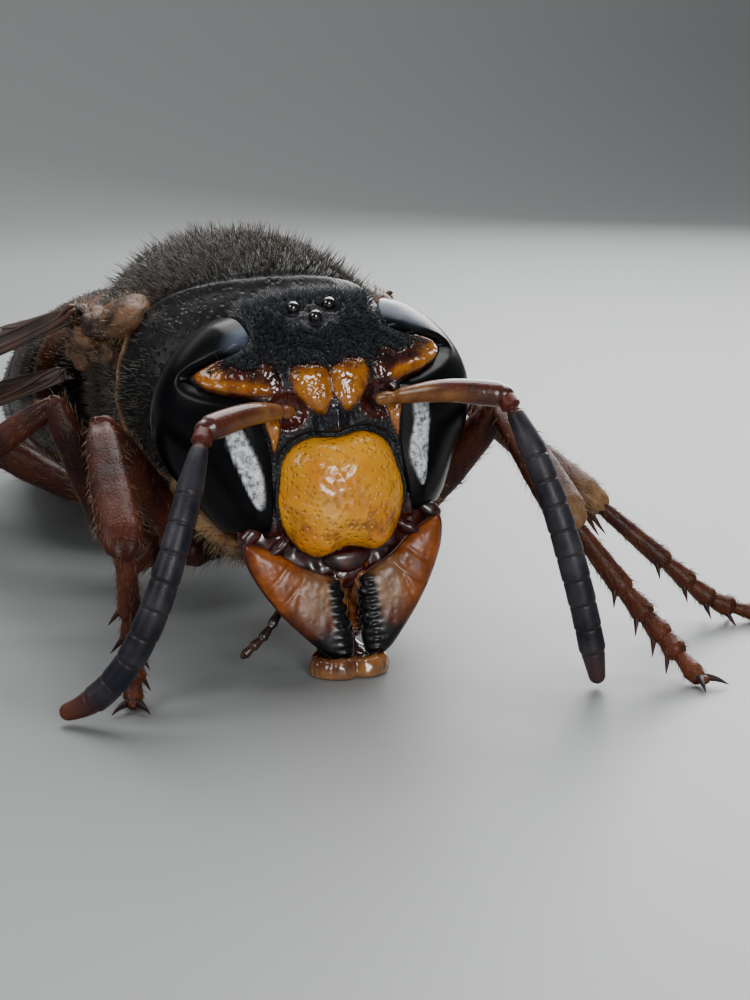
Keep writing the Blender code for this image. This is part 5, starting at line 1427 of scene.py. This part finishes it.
def growCoat(name, roots, normals, lie, length, radius, places, material, stand, segments=3,
             curl=0.25, sunk=0.02):
    # lie is the way the hair leans; stand 1 is upright, 0 lies flat
    count = len(roots)
    lie = unit(lie - normals * (lie * normals).sum(axis=1, keepdims=True))
    noise3 = chance.normal(0.0, 1.0, (count, 3))
    start = unit(normals * stand + lie * (1 - stand) + 0.12 * noise3)
    bend = unit(lie + 0.35 * noise3[:, ::-1])
    length = np.broadcast_to(length, (count,)) * chance.uniform(0.7, 1.15, count)
    radius = np.broadcast_to(radius, (count,)) * chance.uniform(0.8, 1.2, count)
    across = unit(np.cross(start, unit(normals + 0.3 * lie + 0.01)))
    depth = np.cross(start, across)
    turns = np.arange(3) * 2 * math.pi / 3
    points, uvs, along = [], [], []
    for number in range(segments):
        t = number / segments
        middle = roots - normals * sunk + (start * t + bend * curl * t * t) * length[:, None]
        girth = radius * (1 - t) ** 0.7
        for turn in turns:
            points.append(middle + (across * math.cos(turn) + depth * math.sin(turn)) * girth[:, None])
            uvs.append(places + 0.0015 * np.array((math.cos(turn), math.sin(turn))) * (1 - 0.6 * t))
            along.append(np.full(count, t))
    points.append(roots - normals * sunk + (start + bend * curl) * length[:, None])
    uvs.append(places)
    along.append(np.ones(count))
    each = len(points)
    faces = [[2, 1, 0]]
    for number in range(segments - 1):
        for k in range(3):
            m = (k + 1) % 3
            faces.append([number * 3 + k, number * 3 + m, number * 3 + 3 + m])
            faces.append([number * 3 + k, number * 3 + 3 + m, number * 3 + 3 + k])
    top = (segments - 1) * 3
    faces += [[top, top + 1, each - 1], [top + 1, top + 2, each - 1], [top + 2, top, each - 1]]
    points = (np.stack(points, axis=1).reshape(-1, 3) + origin) * mm
    points[:, 2] = np.abs(points[:, 2])  # tips under a foot bend up off the floor
    faces = (np.arange(count)[:, None, None] * each + np.array(faces)[None]).reshape(-1, 3)
    mesh = bpy.data.meshes.new(name)
    mesh.from_pydata(points.tolist(), [], faces.tolist())
    mesh.shade_smooth()
    for key, grid in (("hairAlong", np.stack(along, axis=1)),
                      ("hairShade", np.repeat(chance.random((count, 1)), each, axis=1))):
        made = mesh.attributes.new(key, "FLOAT", "POINT")
        made.data.foreach_set("value", grid.ravel().astype(np.float32))
    layer = mesh.uv_layers.new(name="OFBake")
    spots = np.stack(uvs, axis=1).reshape(-1, 2)[faces.ravel()]
    layer.data.foreach_set("uv", spots.ravel().astype(np.float32))
    mesh.materials.append(material)
    piece = bpy.data.objects.new(name, mesh)
    bpy.context.scene.collection.objects.link(piece)
    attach(piece, "root")
    return piece


def hairMaterial(name, root, tip):
    material, tree, shader = newMaterial(name, Roughness=0.45, Specular_IOR_Level=0.3)
    tint = useGroup(tree, "hairTint", {"Root": rgb(*root), "Tip": rgb(*tip), "Variety": 0.7})
    feed(tree, shader, Base_Color=tint["Color"])
    return material


darkHair = hairMaterial("darkHair", (0.007, 0.006, 0.005), (0.065, 0.052, 0.038))
blackHair = hairMaterial("blackHair", (0.004, 0.005, 0.007), (0.035, 0.04, 0.05))
goldHair = hairMaterial("goldHair", (0.2, 0.1, 0.03), (0.6, 0.42, 0.2))
sootHair = hairMaterial("sootHair", (0.01, 0.009, 0.008), (0.12, 0.105, 0.085))
fawnHair = hairMaterial("fawnHair", (0.05, 0.028, 0.014), (0.34, 0.24, 0.13))
greyHair = hairMaterial("greyHair", (0.05, 0.038, 0.026), (0.3, 0.24, 0.17))
legHair = hairMaterial("legHair", (0.04, 0.015, 0.007), (0.26, 0.15, 0.075))
gasterHair = hairMaterial("gasterHair", (0.008, 0.005, 0.004), (0.075, 0.045, 0.024))


def growThorax():
    x, y, z, behind = thoraxRegions(thoraxRings)[:4]
    back = np.array((0.0, 1.0, 0.0))
    top = step(0.0, 0.12, behind) * step(5.6, 6.6, z) * step(3.4, 2.9, x)
    flank = step(0.0, 0.12, behind) * step(6.6, 5.6, z) * step(1.6, 2.4, z)
    flank = flank * (1 - 0.8 * step(3.1, 3.3, x) * step(5.8, 6.4, z))  # thinner beside the wings
    collar = step(0.05, -0.1, behind) * step(2.2, 3.2, z) * (0.12 + 0.9 * step(6.6, 5.2, z))
    under = step(3.6, 2.6, z) * step(8.5, 6.5, y)
    for number, (weights, count, length, radius, stand, material) in enumerate((
            (top, 12000, 0.25, 0.011, 0.62, darkHair), (flank, 8000, 0.38, 0.013, 0.6, darkHair),
            (collar, 3000, 0.24, 0.009, 0.5, sootHair), (top, 1500, 0.5, 0.011, 0.85, darkHair),
            (under, 4500, 0.6, 0.012, 0.7, goldHair))):
        roots, normals, places = scatter(thoraxRings, weights, count)
        lie = back + 0.6 * normals * np.array((1.0, 0.0, 0.0)) + chance.normal(0, 0.25, roots.shape)
        growCoat("thoraxCoat" + str(number + 1), roots, normals, lie, length, radius, places, material,
                 stand)


def growHead():
    base = headRings
    x, y, z = np.abs(base[..., 0]), base[..., 1], base[..., 2]
    clear = step(-0.06, -0.14, onEye(base))
    bare = 1 - step(0.45, 0.3, np.sqrt(x ** 2 * 0.35 + (y + 0.95) ** 2 + (z - 2.45) ** 2))
    crown = clear * step(1.3, 1.55, z) * step(0.4, -0.2, y) * (1 - headMasks["amber"]) * bare
    nape = clear * step(-0.6, 0.2, y) * step(-1.2, -0.4, z)
    cheek = np.clip(headMasks["tan"] + clear * (z < -0.4) * step(-1.0, -0.6, y) * 0.8, 0, 1)
    lobes = step(1.15, 1.4, z) * step(1.6, 1.45, z) * step(0.95, 0.85, x) * (y < 0)
    for number, (weights, count, length, radius, stand, material) in enumerate((
            (crown, 5200, 0.2, 0.011, 0.75, blackHair), (nape, 2500, 0.3, 0.011, 0.6, blackHair),
            (cheek, 3200, 0.36, 0.011, 0.55, greyHair), (lobes, 260, 0.16, 0.01, 0.8, blackHair))):
        roots, normals, places = scatter(base, weights, count)
        lie = fromHead(np.array((0.0, 0.3, -1.0))) - np.array(head["middle"])
        lie = lie + chance.normal(0, 0.45, roots.shape)
        growCoat("headCoat" + str(number + 1), fromHead(roots), normals @ headTurn.T, lie, length, radius,
                 places, material, stand)


def growCheeks():
    for number, rings in enumerate(cheekSkins):
        weights = np.broadcast_to(step(0.1, 0.3, np.linspace(0, 1, rings.shape[0]))[:, None], rings.shape[:2])
        away = (rings - np.array((0.0, -0.6, 0.2))) * np.array((1.0, 0.6, 1.0))
        outer = step(-0.05, 0.1, ((rings - rings.mean(axis=1, keepdims=True)) * unit(away)).sum(axis=-1))
        roots, normals, places = scatter(rings, weights * outer, 300)
        lie = np.array((0.0, 0.5, -1.0)) + chance.normal(0, 0.4, roots.shape)
        growCoat("cheekCoat" + str(number + 1), fromHead(roots), normals @ headTurn.T, lie, 0.3, 0.0085,
                 places, fawnHair, 0.7)


def growLegs():
    for name, parts in legSkins.items():
        skins, ways = [], []
        for rings, dense, length in parts:
            ways.append(unit(rings[-1].mean(axis=0) - rings[0].mean(axis=0)))
            slants = np.cross(rings[1:, 1:] - rings[:-1, :-1], rings[1:, :-1] - rings[:-1, 1:])
            area = np.linalg.norm(slants, axis=-1).sum() / 2
            weights = np.ones(rings.shape[:2])
            weights[:4] = weights[-4:] = 0.2
            skins.append((rings, weights, int(area * dense)))
        roots, normals, places, owner = scatterOver(skins)
        lengths = np.array([length for rings, dense, length in parts])[owner]
        growCoat("legCoat" + joined(name), roots, normals, np.array(ways)[owner], lengths, 0.0078, places,
                 legHair, 0.42, segments=2, curl=0.35)


def growWingBases():
    for sideName, skins in wingBaseSkins.items():
        counts = [200] + [80] * len(wingKnots)  # hairs on the tegula, then on each knot
        roots, normals, places = scatterOver(
            [(rings, np.ones(rings.shape[:2]), count) for rings, count in zip(skins, counts)])[:3]
        lie = np.array((0.0, 1.0, 0.2)) + chance.normal(0, 0.4, roots.shape)
        growCoat("wingBaseCoat" + sideName.capitalize(), roots, normals, lie, 0.24, 0.0085, places, fawnHair,
                 0.5)


def growGaster():
    skins = []
    for rings, count in zip(gasterSkins, gaster["hairs"]):
        rise = step(0.0, 0.25, np.linspace(0, 1, rings.shape[0]))
        skins.append((rings, np.ones(rings.shape[:2]) * rise[:, None], count))
    roots, normals, places = scatterOver(skins)[:3]
    lies = np.broadcast_to(np.array((0.0, 1.0, -0.15)), roots.shape)
    growCoat("gasterCoat", roots, normals, lies, 0.26, 0.01, places, gasterHair, 0.35, curl=0.4)


growThorax()
growHead()
growCheeks()
growLegs()
growWingBases()
growGaster()
print("hair done")


# floor, backdrop, light and camera

# name, where it aims, azimuth and elevation, distance, width, height and watts
lamps = (("key", (0, 3, 4), -4.0, 17.0, 110.0, 36.0, 40.0, 0.082),
         ("over", (0, 3, 4), 150.0, 62.0, 110.0, 120.0, 90.0, 0.21),
         ("back", (0, 3, 4), 138.0, 24.0, 120.0, 80.0, 50.0, 0.135),
         ("side", (0, 3, 4), -75.0, 35.0, 130.0, 60.0, 60.0, 0.065),
         ("wall", (0, 190, 10), 0.0, 78.0, 130.0, 300.0, 110.0, 0.17))
camera = {"place": (-14.9035, -38.1986, 12.5355), "right": (0.927184, -0.374607, 0.0),
          "up": (0.077885, 0.192773, 0.978148), "back": (-0.366421, -0.906922, 0.207912), "lens": 72.0}


def buildStudio():
    scene = bpy.context.scene
    material = newMaterial("floorPaper", Base_Color=rgb(0.215, 0.222, 0.225), Roughness=0.5)[0]
    bend = 120.0  # where the paper leaves the floor, and the radius of its curve
    profile = [(-400.0, 0.0), (-100.0, 0.0), (0.0, 0.0), (60.0, 0.0), (bend, 0.0)]
    profile += [(bend + bend * math.sin(a), bend - bend * math.cos(a))
                for a in np.linspace(0.1, math.pi / 2, 16)]
    profile += [(240.0, 300.0), (240.0, 500.0)]
    points = [((x + origin[0]) * mm, (y + origin[1]) * mm, z * mm)
              for x in (-600.0, 600.0) for y, z in profile]
    count = len(profile)
    faces = [(i, i + count, i + count + 1, i + 1) for i in range(count - 1)]
    mesh = bpy.data.meshes.new("floor")
    mesh.from_pydata(points, [], faces)
    mesh.shade_smooth()
    mesh.materials.append(material)
    floor = bpy.data.objects.new("floor", mesh)
    scene.collection.objects.link(floor)
    world = bpy.data.worlds.new("room")
    world.use_nodes = True
    background = world.node_tree.nodes["Background"]
    background.inputs["Color"].default_value = rgb(0.6, 0.68, 0.66)
    background.inputs["Strength"].default_value = 0.175
    scene.world = world
    for name, aimed, azimuth, elevation, far, wide, high, power in lamps:
        lamp = bpy.data.lights.new(name, "AREA")
        lamp.shape = "RECTANGLE"
        lamp.size, lamp.size_y, lamp.energy = wide * mm, high * mm, power
        light = bpy.data.objects.new(name, lamp)
        a, e = math.radians(azimuth), math.radians(elevation)
        aimed = np.array(aimed, dtype=float)
        place = aimed + far * np.array((math.sin(a) * math.cos(e), -math.cos(a) * math.cos(e), math.sin(e)))
        turn = Vector(aimed - place).to_track_quat("-Z", "Y").to_matrix().to_4x4()
        light.matrix_world = Matrix.Translation(Vector((origin + place) * mm)) @ turn
        scene.collection.objects.link(light)
    eye = bpy.data.objects.new("camera", bpy.data.cameras.new("camera"))
    scene.collection.objects.link(eye)
    turn = Matrix((camera["right"], camera["up"], camera["back"])).transposed()
    eye.matrix_world = Matrix.Translation(Vector((origin + np.array(camera["place"])) * mm)) @ turn.to_4x4()
    eye.data.lens = camera["lens"]
    eye.data.sensor_width = 36.0
    eye.data.clip_start = 0.001
    eye.data.clip_end = 5.0
    scene.camera = eye


buildStudio()
